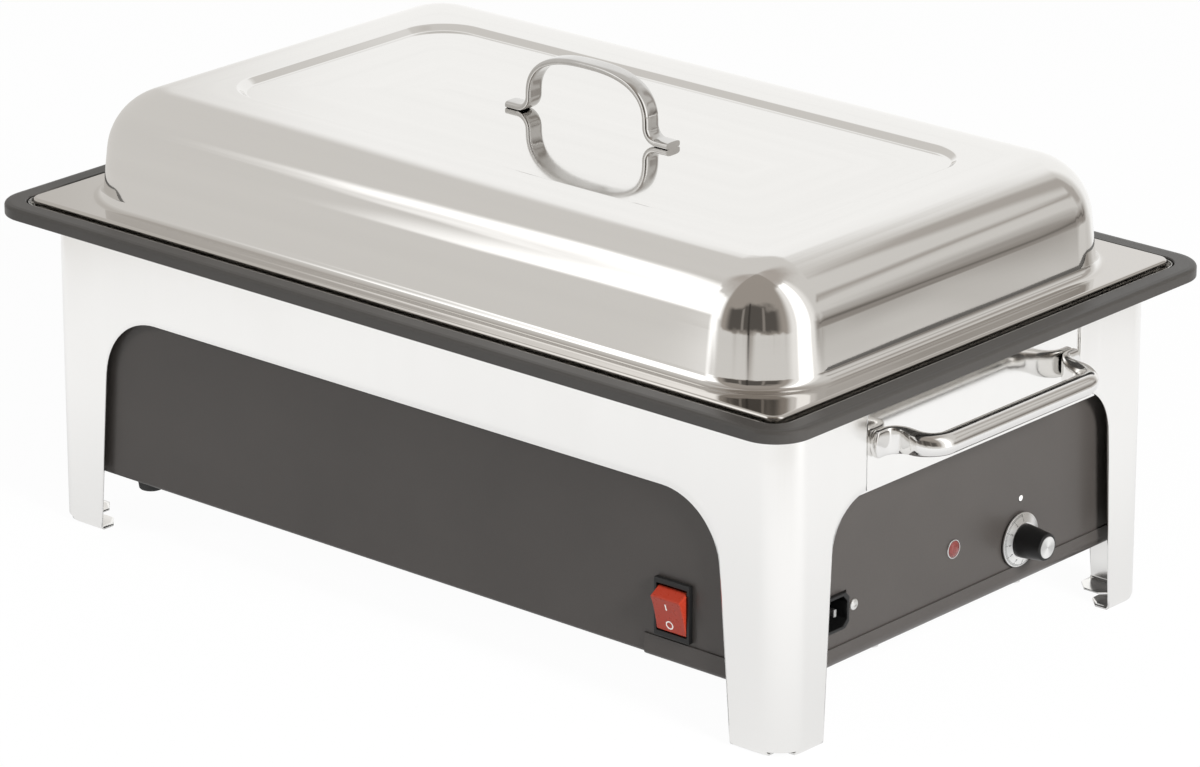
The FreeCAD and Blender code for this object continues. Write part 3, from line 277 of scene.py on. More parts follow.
def make_mesh(name, grids, close_rows=False, close_columns=True):
    """Mesh from grids of points.

    The UV map holds metres along a row and metres down the rows, so a finish can follow the form.
    Points that meet, at seams and poles, are joined.
    """
    vertices, faces, uvs = [], [], []
    start = 0
    for points in grids:
        rows, columns = points.shape[:2]
        quads, row, column = grid_faces(rows, columns, close_rows, close_columns)
        along, down = grid_lengths(points, close_rows, close_columns)
        left, right, top, bottom = along[column], along[column + 1], down[row], down[row + 1]
        uvs.append(np.stack([left, top, right, top, right, bottom, left, bottom], axis=-1).reshape(-1, 2))
        vertices.append(points.reshape(-1, 3))
        faces.append(quads + start)
        start += rows * columns
    mesh = bpy.data.meshes.new(name)
    mesh.from_pydata(np.concatenate(vertices), [], np.concatenate(faces))
    mesh.uv_layers.new(name="UVMap").data.foreach_set("uv", np.concatenate(uvs).ravel())
    form = bmesh.new()
    form.from_mesh(mesh)
    bmesh.ops.remove_doubles(form, verts=form.verts, dist=JOIN_DISTANCE)
    bmesh.ops.dissolve_degenerate(form, edges=form.edges, dist=SLIVER_LENGTH)
    form.to_mesh(mesh)
    form.free()
    mesh.validate()
    return mesh


def link_object(name, data):
    """Put new data into the scene as an object."""
    thing = bpy.data.objects.new(name, data)
    bpy.context.scene.collection.objects.link(thing)
    return thing


def place(name, shape, look, body, replaces=(), closed=(False, True), sheet=0.0, bevel=0.0, sharp=32.0,
          flat=True):
    """Put a piece into the scene, with its modifiers, finish and body.

    The shape is a mesh, or grids of points with the directions in which they are closed.
    """
    mesh = shape if isinstance(shape, bpy.types.Mesh) else make_mesh(name, shape, *closed)
    piece = link_object(name, mesh)
    mesh.shade_smooth()
    mesh.set_sharp_from_angle(angle=math.radians(sharp))
    if sheet:
        solid = piece.modifiers.new("Sheet", "SOLIDIFY")
        solid.thickness = sheet
        solid.offset = -1.0
        solid.use_even_offset = True
    if bevel:
        edge = piece.modifiers.new("Edges", "BEVEL")
        edge.width = bevel
        edge.segments = BEVEL_SEGMENTS
        edge.limit_method = "ANGLE"
        edge.angle_limit = math.radians(sharp)
        edge.harden_normals = False
    if flat:
        normals = piece.modifiers.new("Flat faces", "WEIGHTED_NORMAL")
        normals.keep_sharp = True
    mesh.materials.append(finish(look))
    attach(piece, body)
    if replaces:
        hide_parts(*replaces)


def mirrored(points, axis):
    """The grid's mirror image. Its columns run the other way, so its faces still point outwards."""
    image = points[:, ::-1].copy()
    image[..., axis] *= -1
    return image


def rounded_rings(stations, corner_steps=16, side_steps=12):
    """Rings of a rounded rectangle, one for each station of half length, half width, radius, height.

    A corner's point is the corner's centre plus the radius times the cosine and sine of its angle,
    and a side is divided evenly between two corners. Rings run anticlockwise, seen from above.
    """
    half_x, half_y, radius, height = (np.asarray(stations)[:, part, None] for part in range(4))
    corners = []
    for quarter, (sx, sy) in enumerate(((-1, -1), (1, -1), (1, 1), (-1, 1))):
        angle = np.radians(180 + 90 * quarter + np.linspace(0, 90, corner_steps + 1))[None]
        x = sx * (half_x - radius) + radius * np.cos(angle)
        y = sy * (half_y - radius) + radius * np.sin(angle)
        corners.append(np.stack([x, y, height + 0 * x], axis=-1))
    between = np.linspace(0, 1, side_steps + 1)[None, 1:-1, None]
    ring = []
    for quarter, corner in enumerate(corners):
        following = corners[(quarter + 1) % 4][:, :1]
        ring += [corner, corner[:, -1:] + (following - corner[:, -1:]) * between]
    return np.concatenate(ring, axis=1)


def bent_profile(corners, steps=8, closed=False):
    """Stations along a strip that is bent at each corner.

    A corner is half length, half width, radius, height and bend radius. Each bend is an arc in the
    plane of length and height, and half width and radius change in step with it. With the turn's
    angle, the arc starts and ends at bend radius times the tangent of half the turn from the corner.
    """
    corners = np.asarray(corners, float)
    if closed:
        triples = zip(np.roll(corners, 1, axis=0), corners, np.roll(corners, -1, axis=0))
        line = []
    else:
        triples = zip(corners, corners[1:], corners[2:])
        line = [corners[:1, :4]]
    for before, corner, after in triples:
        into = corner[:4] - before[:4]
        out = after[:4] - corner[:4]
        into = into / np.hypot(into[0], into[3])
        out = out / np.hypot(out[0], out[3])
        turn = np.arccos(np.clip(into[0] * out[0] + into[3] * out[3], -1, 1))
        bend = corner[4]
        if bend == 0 or turn < NO_TURN:
            line.append(corner[None, :4])
            continue
        angle = np.linspace(0, turn, steps + 1)[:, None]
        across = bend * (1 - np.cos(angle)) / np.sin(turn)
        along = bend * np.sin(angle) - bend * np.tan(turn / 2) - across * np.cos(turn)
        line.append(corner[:4] + along * into + across * out)
    if not closed:
        line.append(corners[-1:, :4])
    return np.concatenate(line)


def closing_stations(station, steps=6):
    """Stations that shrink a rounded rectangle evenly to the line along its middle."""
    half_x, half_y, radius, height = station
    left = np.linspace(1, 0, steps + 1)[1:, None]
    middle = np.array([half_x - half_y, 0, 0, height])
    return middle + left * (np.array([half_x, half_y, radius, height]) - middle)


def turned(profile, centre, axis, steps=64):
    """Surface of revolution: each profile point is a distance along the axis and a radius.

    The point at an angle is the centre, plus the distance along the axis, plus the radius times the
    cosine and sine of the angle along the two axes that follow.
    """
    profile = np.asarray(profile, float)
    angle = np.linspace(0, 2 * np.pi, steps, endpoint=False)[None]
    parts = [profile[:, :1] + 0 * angle, profile[:, 1:] * np.cos(angle), profile[:, 1:] * np.sin(angle)]
    points = np.stack([parts[(number - axis) % 3] for number in range(3)], axis=-1)
    return points + np.asarray(centre)


def rounded_line(corners, steps=5):
    """A flat line of (distance, radius, rounding) corners, with each corner rounded to an arc."""
    corners = np.asarray(corners, float)
    stations = np.column_stack([corners[:, 0], 0 * corners[:, 0], 0 * corners[:, 0], corners[:, 1],
                                corners[:, 2]])
    return bent_profile(stations, steps)[:, [0, 3]]


def swept(path, side, up, sections):
    """A section carried along a path: path point plus side and up times the section's two numbers."""
    return (path[:, None] + side[:, None] * sections[..., :1] + up[:, None] * sections[..., 1:])


def capped(points):
    """The grid with both ends shut by a row gathered at the end's middle."""
    first = np.broadcast_to(points[:1].mean(axis=1, keepdims=True), points[:1].shape)
    last = np.broadcast_to(points[-1:].mean(axis=1, keepdims=True), points[-1:].shape)
    return np.concatenate([first, points, last])


def oval(half_wide, half_high, squareness, steps=40):
    """Sections from ellipse to rounded box: cosine and sine raised to two over the squareness."""
    angle = np.linspace(0, 2 * np.pi, steps, endpoint=False)[None]
    power = 2 / np.asarray(squareness)[:, None]
    across = np.sign(np.cos(angle)) * np.abs(np.cos(angle)) ** power
    above = np.sign(np.sin(angle)) * np.abs(np.sin(angle)) ** power
    return np.stack([across * np.asarray(half_wide)[:, None], above * np.asarray(half_high)[:, None]],
                    axis=-1)


# Finishes


def add(tree, kind, inputs=None, **settings):
    """Add a node. An input is given as a plain value or as the output that feeds it."""
    node = tree.nodes.new(kind)
    for name, value in settings.items():
        setattr(node, name, value)
    for name, value in (inputs or {}).items():
        if isinstance(value, bpy.types.NodeSocket):
            tree.links.new(value, node.inputs[name])
        else:
            node.inputs[name].default_value = value
    return node


def maths(tree, operation, *values):
    """Result of a maths node on plain values or sockets."""
    return add(tree, "ShaderNodeMath", dict(enumerate(values)), operation=operation).outputs[0]


def length_of(tree, vector):
    """Length of a vector socket."""
    return add(tree, "ShaderNodeVectorMath", {0: vector}, operation="LENGTH").outputs["Value"]


def mixed_colour(tree, mask, first, second):
    """A colour between two, by a mask."""
    return add(tree, "ShaderNodeMix", {"Factor": mask, 6: first, 7: second}, data_type="RGBA").outputs[2]


def shade_range(tree, value, low, high, from_low=0.0, from_high=1.0):
    """A value moved from one range to another, and held inside it."""
    return add(tree, "ShaderNodeMapRange", {"Value": value, "From Min": from_low, "From Max": from_high,
                                            "To Min": low, "To Max": high}).outputs["Result"]


def tone(tree, base, mask, amount):
    """The base colour, made darker or lighter by a mask around one half."""
    level = shade_range(tree, mask, 1 - amount, 1 + amount)
    return add(tree, "ShaderNodeVectorMath", {0: (*base, ), "Scale": level}, operation="SCALE").outputs[0]


def effect(name, inputs, outputs, fill):
    """A shader node group with named inputs and outputs, built once."""
    group = bpy.data.node_groups.get(name)
    if group:
        return group
    group = bpy.data.node_groups.new(name, "ShaderNodeTree")
    for label, kind, default in inputs:
        socket = group.interface.new_socket(label, in_out="INPUT", socket_type=kind)
        if default is not None:
            socket.default_value = default
    for label, kind in outputs:
        group.interface.new_socket(label, in_out="OUTPUT", socket_type=kind)
    entry = group.nodes.new("NodeGroupInput")
    leave = group.nodes.new("NodeGroupOutput")
    for label, socket in fill(group, entry.outputs).items():
        group.links.new(socket, leave.inputs[label])
    return group


def use(tree, group, **inputs):
    """Place an effect in a material, with its own values."""
    return add(tree, "ShaderNodeGroup", {name.replace("_", " "): value for name, value in inputs.items()},
               node_tree=group).outputs


def grain_effect():
    """Fine pebbled grain of paint and moulded plastic, with a slight unevenness of tone."""
    def fill(group, given):
        scale = maths(group, "DIVIDE", 1.0, given["Grain size"])
        fine = add(group, "ShaderNodeTexNoise", {"Vector": given["Vector"], "Scale": scale, "Detail": 3.0})
        broad = add(group, "ShaderNodeTexNoise", {"Vector": given["Vector"], "Scale": 22.0, "Detail": 5.0})
        mixed = maths(group, "ADD", fine.outputs[0], broad.outputs[0])
        return {"Height": fine.outputs[0], "Tone": shade_range(group, mixed, 0.0, 1.0, 0.6, 1.4)}
    return effect("grain", [("Vector", "NodeSocketVector", None), ("Grain size", "NodeSocketFloat", 0.0008)],
                  [("Height", "NodeSocketFloat"), ("Tone", "NodeSocketFloat")], fill)


def polish_effect():
    """Fine polishing lines, long where the stretch is small, and a shallow waviness of the sheet."""
    def fill(group, given):
        drawn = add(group, "ShaderNodeVectorMath", {0: given["Vector"], 1: given["Stretch"]},
                    operation="MULTIPLY").outputs[0]
        lines = add(group, "ShaderNodeTexNoise", {"Vector": drawn, "Scale": 900.0, "Detail": 3.0})
        streaks = add(group, "ShaderNodeTexNoise", {"Vector": drawn, "Scale": 60.0, "Detail": 4.0})
        wave = add(group, "ShaderNodeTexNoise", {"Vector": given["Place"], "Scale": given["Waviness scale"],
                                                 "Detail": 1.0})
        return {"Lines": lines.outputs[0], "Streaks": streaks.outputs[0], "Waves": wave.outputs[0]}
    return effect("polish_lines",
                  [("Vector", "NodeSocketVector", None), ("Place", "NodeSocketVector", None),
                   ("Stretch", "NodeSocketVector", (0.007, 1.0, 1.0)),
                   ("Waviness scale", "NodeSocketFloat", 9.0)],
                  [("Lines", "NodeSocketFloat"), ("Streaks", "NodeSocketFloat"),
                   ("Waves", "NodeSocketFloat")], fill)


def marks_effect():
    """Faint wiped smudges, as handling leaves on steel and plastic."""
    def fill(group, given):
        warp = add(group, "ShaderNodeTexNoise", {"Vector": given["Vector"], "Scale": 14.0, "Detail": 6.0,
                                                 "Distortion": 0.8})
        return {"Mask": shade_range(group, warp.outputs[0], 0.0, 1.0, given["Cover"], 0.75)}
    return effect("handling_marks",
                  [("Vector", "NodeSocketVector", None), ("Cover", "NodeSocketFloat", 0.45)],
                  [("Mask", "NodeSocketFloat")], fill)


def edge_effect():
    """Mask of outer edges, where a coat thins with wear and where a painted highlight stands for the light
    that edges catch.
    """
    def fill(group, given):
        pointed = add(group, "ShaderNodeNewGeometry").outputs["Pointiness"]
        return {"Mask": shade_range(group, pointed, 0.0, 1.0, given["Start"], given["End"])}
    return effect("edge_light",
                  [("Start", "NodeSocketFloat", 0.52), ("End", "NodeSocketFloat", 0.60)],
                  [("Mask", "NodeSocketFloat")], fill)


def empty_material(name):
    """A material without nodes, and its tree."""
    material = bpy.data.materials.new(name)
    material.use_nodes = True
    material.node_tree.nodes.clear()
    return material, material.node_tree


def new_finish(name, base, metallic, roughness, **sockets):
    """A material with a principled shader whose plain numbers are set on its own sockets."""
    material, tree = empty_material(name)
    shader = add(tree, "ShaderNodeBsdfPrincipled", {"Base Color": (*base, 1.0), "Metallic": metallic,
                                                    "Roughness": roughness})
    for label, value in sockets.items():
        shader.inputs[label.replace("_", " ")].default_value = value
    add(tree, "ShaderNodeOutputMaterial", {"Surface": shader.outputs[0]})
    return material, tree, shader


def feed(tree, shader, label, socket):
    """Link an output to one of the shader's inputs."""
    tree.links.new(socket, shader.inputs[label])


def bumped(tree, layers):
    """Normals from several heights, each with its depth in metres."""
    normal = None
    for height, depth in layers:
        inputs = {"Height": height, "Distance": depth, "Strength": 1.0}
        if normal is not None:
            inputs["Normal"] = normal
        normal = add(tree, "ShaderNodeBump", inputs).outputs[0]
    return normal


# Painted reflection: below a given height the colour is darkened by this tone, blended over this rise.
PAINTED_REFLECTION_TONE = (0.74, 0.72, 0.70)
PAINTED_REFLECTION_BLEND = 0.0015


def steel_finish(name, base, roughness, follow_form=True, lines=0.0000002, waves=0.00008, marks=0.05,
                 streak_tone=0.02, wave_scale=9.0, stretch=(0.007, 1.0, 1.0), uneven=0.1, painted_reflection_below=None):
    """Steel sheet with polishing lines that follow the form's length, or another stretch in space.

    Below the given height the sheet's colour is darker: a painted reflection, for the grey that the flange
    mirrors.
    """
    material, tree, shader = new_finish(name, base, 1.0, roughness)
    coordinates = add(tree, "ShaderNodeTexCoord").outputs
    vector = coordinates["UV" if follow_form else "Object"]
    polish = use(tree, polish_effect(), Vector=vector, Place=coordinates["Object"],
                 Stretch=stretch, Waviness_scale=wave_scale)
    smudges = use(tree, marks_effect(), Vector=coordinates["Object"])
    shown = tone(tree, base, polish["Streaks"], streak_tone)
    if painted_reflection_below is not None:
        # Painted reflection: darker colour below the given height.
        height = add(tree, "ShaderNodeSeparateXYZ", {"Vector": coordinates["Object"]}).outputs[2]
        painted_reflection_mask = shade_range(tree, height, 1.0, 0.0, painted_reflection_below, painted_reflection_below + PAINTED_REFLECTION_BLEND)
        painted_reflection_colour = tuple(part * duller for part, duller in zip(base, PAINTED_REFLECTION_TONE))
        shown = mixed_colour(tree, painted_reflection_mask, shown, (*painted_reflection_colour, 1.0))
    feed(tree, shader, "Base Color", shown)
    lined = shade_range(tree, polish["Lines"], roughness * (1 - uneven), roughness * (1 + uneven), 0.3, 0.7)
    wiped = shade_range(tree, smudges["Mask"], 0.0, marks)
    feed(tree, shader, "Roughness", maths(tree, "ADD", lined, wiped))
    feed(tree, shader, "Normal", bumped(tree, [(polish["Waves"], waves), (polish["Lines"], lines)]))
    return material


def coat_finish(name, base, roughness, grain_size, grain_depth, tone_amount=0.12, edge=0.0, **sockets):
    """Painted or moulded surface: pebbled grain, slight tone changes and lighter edges, partly wear and
    partly painted highlight.
    """
    material, tree, shader = new_finish(name, base, 0.0, roughness, **sockets)
    uneven, wipe, wear_and_highlight_gain, wear_and_highlight_lift = 0.04, 0.05, 3, 0.05
    place_vector = add(tree, "ShaderNodeTexCoord").outputs["Object"]
    grain = use(tree, grain_effect(), Vector=place_vector, Grain_size=grain_size)
    smudges = use(tree, marks_effect(), Vector=place_vector)
    shown = tone(tree, base, grain["Tone"], tone_amount)
    # Lighter edges: partly wear, partly a painted highlight where an edge catches the light.
    if edge:
        wear_and_highlight = use(tree, edge_effect())
        lighter = tuple(min(1.0, part * wear_and_highlight_gain + wear_and_highlight_lift) for part in base)
        wear_and_highlight_share = shade_range(tree, wear_and_highlight["Mask"], 0.0, edge)
        shown = mixed_colour(tree, wear_and_highlight_share, shown, (*lighter, 1.0))
    feed(tree, shader, "Base Color", shown)
    grained = shade_range(tree, grain["Tone"], roughness - uneven, roughness + uneven)
    wiped = shade_range(tree, smudges["Mask"], 0.0, -wipe)
    feed(tree, shader, "Roughness", maths(tree, "ADD", grained, wiped))
    feed(tree, shader, "Normal", bumped(tree, [(grain["Height"], grain_depth)]))
    return material


def spun_finish(name, base, roughness, centre):
    """Metal turned on a lathe: rings of fine lines round an axis along X, with a painted glint by angle round
    it.
    """
    material, tree, shader = new_finish(name, base, 1.0, roughness)
    ring_scale, ring_depth, ring_tone, uneven = 4000.0, 0.000012, 0.08, 0.06
    # Painted glint: lobes of darker and lighter colour by angle round the axis.
    painted_glint_lobes, painted_glint_turn, painted_glint_dark = 2.0, 0.9, 0.68
    place_vector = add(tree, "ShaderNodeTexCoord").outputs["Object"]
    centred = add(tree, "ShaderNodeMapping", {"Vector": place_vector, "Location": (0, -centre[0], -centre[1]),
                                              "Scale": (0, 1, 1)}).outputs[0]
    distance = length_of(tree, centred)
    rings = add(tree, "ShaderNodeTexNoise", {"W": distance, "Scale": ring_scale, "Detail": 2.0},
                noise_dimensions="1D").outputs[0]
    parts = add(tree, "ShaderNodeSeparateXYZ", {"Vector": centred}).outputs
    turn = maths(tree, "ARCTAN2", parts[1], parts[2])
    painted_glint = maths(tree, "SINE", maths(tree, "MULTIPLY_ADD", turn, painted_glint_lobes, painted_glint_turn))
    # Painted glint: the darker colour is mixed in where the angle's sine is low.
    darker = tuple(part * painted_glint_dark for part in base)
    feed(tree, shader, "Base Color", mixed_colour(tree, shade_range(tree, painted_glint, 0.0, 1.0, -0.9, 0.8),
                                                  (*darker, 1.0), tone(tree, base, rings, ring_tone)))
    feed(tree, shader, "Roughness", shade_range(tree, rings, roughness - uneven, roughness + uneven))
    feed(tree, shader, "Normal", bumped(tree, [(rings, ring_depth)]))
    return material


def make_finishes(colours, controls, lid):
    """Every finish of the object, by name."""
    knob = (controls.knob_y, controls.knob_z)
    powder = tuple(colours.powder)
    black = tuple(colours.black)
    return {
        # The lid's flange and turned-down edge get a painted reflection: darker colour below the flange's
        # top.
        "polished_steel": steel_finish("steel_lid", tuple(colours.polished), 0.055, marks=0.02,
                                       waves=0.00055, wave_scale=9.0, streak_tone=0.04,
                                       painted_reflection_below=lid.flange + 0.0004),
        "handle_steel": steel_finish("steel_handles", tuple(colours.polished), 0.10, waves=0.00004,
                                     wave_scale=60.0),
        # Painted shade: the bow is the lid's polished steel with its colour darkened, to match the darker
        # look of what it mirrors.
        "shaded_bow_steel": steel_finish("steel_bow_painted_shade", tuple(part * 0.78 for part in colours.polished), 0.08,
                                  waves=0.00025, wave_scale=45.0, streak_tone=0.12),
        "mirror_steel": steel_finish("steel_end_panels", tuple(colours.satin), 0.10, follow_form=False,
                                     waves=0.00002, marks=0.03),
        "satin_steel": steel_finish("steel_stand", tuple(colours.satin), 0.19, follow_form=False,
                                    waves=0.00008, streak_tone=0.012, marks=0.04, stretch=(1.0, 1.0, 0.01),
                                    uneven=0.06),
        "inner_steel": steel_finish("steel_tank_and_pan", (0.74, 0.735, 0.72), 0.22, waves=0.00004),
        "zinc_steel": steel_finish("zinc_plate", (0.82, 0.82, 0.81), 0.40, follow_form=False,
                                   lines=0.000002, marks=0.12, streak_tone=0.10),
        "aluminium": steel_finish("aluminium_plate", (0.68, 0.69, 0.70), 0.36, follow_form=False,
                                  lines=0.000003, marks=0.1, streak_tone=0.08),
        "brass": steel_finish("brass_fittings", (0.62, 0.45, 0.20), 0.28, follow_form=False,
                              lines=0.000002, streak_tone=0.12),
        "spun_aluminium": spun_finish("spun_dial", (0.92, 0.92, 0.91), 0.30, knob),
        "chrome": steel_finish("chrome_bezel", (0.72, 0.72, 0.72), 0.12, waves=0.0),
        "black_rim": coat_finish("rim_plastic", tuple(colours.rim), 0.42, 0.0009, 0.000012, edge=0.35),
        "grey_powder": coat_finish("powder_coat", powder, 0.36, 0.0007, 0.00002, tone_amount=0.10,
                                   Specular_IOR_Level=0.35),
        "black_plastic": coat_finish("black_plastic", black, 0.34, 0.0006, 0.000008, edge=0.12,
                                     Specular_IOR_Level=0.35),
        "black_rubber": coat_finish("foot_rubber", (0.018, 0.018, 0.018), 0.62, 0.0010, 0.00003, edge=0.2),
        "red_plastic": coat_finish("rocker_red", tuple(colours.red), 0.30, 0.0030, 0.000002,
                                   tone_amount=0.03, Specular_IOR_Level=0.3),
        "ceramic_white": coat_finish("ceramic_beads", (0.78, 0.76, 0.72), 0.45, 0.0012, 0.00002),
        "mineral_board": coat_finish("mineral_board", (0.70, 0.66, 0.58), 0.85, 0.0025, 0.0002,
                                     tone_amount=0.2),
        "brown_silicone": coat_finish("brown_lead", (0.16, 0.07, 0.03), 0.5, 0.0012, 0.00001),
        "blue_silicone": coat_finish("blue_lead", (0.03, 0.10, 0.35), 0.5, 0.0012, 0.00001),
        "green_silicone": coat_finish("earth_lead_stripes", (0.06, 0.30, 0.08), 0.5, 0.0012, 0.00001),
        "print_white": coat_finish("white_print", tuple(colours.print_white), 0.55, 0.0008, 0.000004,
                                   tone_amount=0.05),
        "print_black": coat_finish("black_print", tuple(colours.print_black), 0.50, 0.0008, 0.000004),
        "lens": lens_finish("lamp_lens", tuple(colours.lens), controls),
    }


def lens_finish(name, base, controls):
    """Red lens with moulded facets round its middle; the facets' lighter and darker tone is painted light of
    the reflector behind it.
    """
    material, tree, shader = new_finish(name, base, 0.0, 0.22, Coat_Weight=0.6, Coat_Roughness=0.05)
    facet_scale, painted_facet_light, facet_depth = 900.0, 0.35, 0.0002
    place_vector = add(tree, "ShaderNodeTexCoord").outputs["Object"]
    centred = add(tree, "ShaderNodeMapping", {"Vector": place_vector,
                                              "Location": (0, -controls.lamp_y, -controls.lamp_z)}).outputs[0]
    cells = add(tree, "ShaderNodeTexVoronoi", {"Vector": centred, "Scale": facet_scale, "Randomness": 0.0})
    # Painted light: each facet's colour is lighter or darker, for the reflector's light through it.
    feed(tree, shader, "Base Color", tone(tree, base, cells.outputs["Distance"], painted_facet_light))
    feed(tree, shader, "Normal", bumped(tree, [(cells.outputs["Distance"], facet_depth)]))
    return material


FINISHES = {}


def finish(name):
    """A finish by name. All are made on first use."""
    if not FINISHES:
        scene = bpy.context.scene
        FINISHES.update(make_finishes(scene.dish_colours, scene.dish_controls, scene.dish_lid))
    return FINISHES[name]


# Pieces


def arch_edge(half, lean, top, radius, low, steps=16):
    """One side of an arch, from the ground to the middle: leaning line, round corner, flat top.

    The round corner is an arc that touches the leaning line and the top. The turn between them is a
    right angle less the lean's angle.
    """
    slope = math.atan(lean)
    turn = math.pi / 2 - slope
    corner = np.array([half - lean * top, top])
    setback = radius * math.tan(turn / 2)
    rise = np.array([-math.sin(slope), math.cos(slope)])
    inwards = np.array([-1.0, 0.0])
    start = corner - rise * setback
    angle = np.linspace(0, turn, steps + 1)[:, None]
    across = (inwards - math.cos(turn) * rise) / math.sin(turn)
    arc = start + radius * (np.sin(angle) * rise + (1 - np.cos(angle)) * across)
    foot = np.array([half - lean * low, low])
    line = foot + (start - foot) * np.linspace(0, 1, 13)[:-1, None]
    crown = arc[-1] + (np.array([0.0, top]) - arc[-1]) * np.linspace(0, 1, 9)[1:, None]
    return np.concatenate([line, arc, crown])


def stand_panel(sizes, end_top):
    """One long panel as a height field along its bent plan line, with its foot patches.

    A column stands at one place of the plan line, from the lower edge (foot, arch side, arch top) to
    the flange. The point is the plan point, plus its outward direction times the offset.
    """
    half_x, half_y, corner = sizes.half_length, sizes.half_width, sizes.corner
    bend = sizes.foot_bend
    front = arch_edge(sizes.front_half, sizes.front_lean, sizes.front_top, sizes.front_round, bend)
    end = arch_edge(sizes.end_half, sizes.end_lean, end_top, sizes.end_round, bend)
    on_end = end[:, 0] > sizes.seam
    end = np.concatenate([end[on_end], [[sizes.seam, np.interp(-sizes.seam, -end[:, 0], end[:, 1])]]])
    leg_steps, foot_steps, gap_steps = 7, 5, 12
    leg_front = np.linspace(front[0, 0], half_x - corner, leg_steps)
    leg_end = np.linspace(half_y - corner, end[0, 0], leg_steps)
    gap_angle = math.asin((corner - sizes.foot_gap) / corner)
    turn = np.concatenate([np.linspace(0, gap_angle, foot_steps),
                           np.linspace(gap_angle, np.pi / 2 - gap_angle, gap_steps)[1:-1],
                           np.linspace(np.pi / 2 - gap_angle, np.pi / 2, foot_steps)])

    def line(places, heights, fixed, direction):
        """Columns along one side: plan place, lower edge and outward direction."""
        places = np.asarray(places)
        flat = np.full(len(places), fixed)
        x, y = (places, flat) if direction[0] == 0 else (flat, places)
        outward = np.broadcast_to(direction, (len(places), 2))
        return np.column_stack([x, y, heights, outward])

    along_end = line(-end[:, 0], end[:, 1], half_x, (1.0, 0.0))
    foot_end = line(-leg_end, np.full(leg_steps, bend), half_x, (1.0, 0.0))
    along_front = line(front[::-1, 0], front[::-1, 1], -half_y, (0.0, -1.0))
    foot_front = line(leg_front, np.full(leg_steps, bend), -half_y, (0.0, -1.0))
    rounded = np.column_stack([half_x - corner + corner * np.sin(turn),
                               corner - half_y - corner * np.cos(turn), np.full(len(turn), bend),
                               np.sin(turn), -np.cos(turn)])
    right = np.concatenate([along_front[:-1], foot_front, rounded[1:-1], foot_end, along_end[1:]])
    left = right[::-1].copy()
    left[:, [0, 3]] *= -1
    columns = np.concatenate([left[:-1], right])
    plan, low, outward = columns[:, :2], columns[:, 2], columns[:, 3:]
    under = sizes.top - sizes.sheet
    round_top = sizes.flange_bend
    rise = np.linspace(0, 1, 12)[:, None]
    arc = np.linspace(0, np.pi / 2, 6)[1:, None]
    tips = np.linspace(round_top, sizes.flange, 4)[1:, None]
    every = 0 * low
    heights = np.concatenate([low + (under - round_top - low) * rise,
                              under - round_top + round_top * np.sin(arc) + every, under + 0 * tips + every])
    offsets = np.concatenate([0 * rise + every, round_top * (1 - np.cos(arc)) + every, tips + every])
    wall = np.stack([plan[:, 0] + outward[:, 0] * offsets, plan[:, 1] + outward[:, 1] * offsets, heights],
                    axis=-1)
    grids = [wall]
    for foot, out in ((np.concatenate([foot_front, rounded[1:foot_steps]]), (0.0, -1.0)),
                      (np.concatenate([rounded[-foot_steps:-1], foot_end]), (1.0, 0.0))):
        grids.append(foot_patch(foot[:, :2], np.array(out), sizes))
        grids.append(mirrored(grids[-1], 0))
    return grids


def foot_patch(plan, outward, sizes):
    """One turned-in foot: a quarter bend at the leg's lower edge, then a flat tongue with slanted tips.

    A point is its place along the leg, plus the outward direction times how far out it lies.
    """
    bend, depth, slant = sizes.foot_bend, sizes.foot_reach, sizes.foot_slant
    out = (plan @ outward)[None]
    along = plan - out[0][:, None] * outward
    tip = out.max() - depth
    arc = np.linspace(np.pi / 2, 0, 7)[:, None]
    far = np.concatenate([tip + 0 * out, tip + slant + 0 * out, out - bend * (1 - np.cos(arc))])
    height = np.concatenate([0 * out, 0 * out, bend * (1 - np.sin(arc)) + 0 * out])
    middle = (along[0] + along[-1]) / 2
    narrow = np.ones((len(far), 1, 1))
    narrow[0] = 1 - 2 * slant / np.linalg.norm(along[-1] - along[0])
    flat = middle + (along - middle)[None] * narrow + far[..., None] * outward
    return np.concatenate([flat, height[..., None]], axis=-1)


def rim_surface(sizes):
    """Closed profile of the rim, carried round its rounded rectangle."""
    hx, hy, corner = sizes.half_length, sizes.half_width, sizes.corner
    rx, ry, recess_corner = hx - sizes.border, hy - sizes.border, 0.0125
    wall, top, shelf = sizes.wall, sizes.top, sizes.shelf
    mouth, chamfer, crown = (0.2553, 0.1526, 0.041), 0.0005, 0.0035
    outside, hollow = (hx, hy, corner), (rx + wall, ry + wall, recess_corner + wall)
    inside = (hx - wall, hy - wall, corner - wall)
    profile = [
        (*outside, sizes.bottom, 0.0006),
        (*outside, top - 0.0004, 0.0019),
        (hx - crown, hy - crown, corner - crown, top, 0.003),
        (rx + chamfer, ry + chamfer, recess_corner + chamfer, top, 0.0005),
        (rx, ry, recess_corner, top - 0.0006, 0.0003),
        (rx, ry, recess_corner, sizes.floor, 0.0008),
        (*mouth, sizes.floor, 0.0006),
        (*mouth, shelf, 0.0),
        (*hollow, shelf, 0.0),
        (*hollow, top - wall, 0.0),
        (*inside, top - wall, 0.0),
        (*inside, sizes.bottom, 0.0),
    ]
    return rounded_rings(bent_profile(profile, steps=6, closed=True), corner_steps=14, side_steps=10)


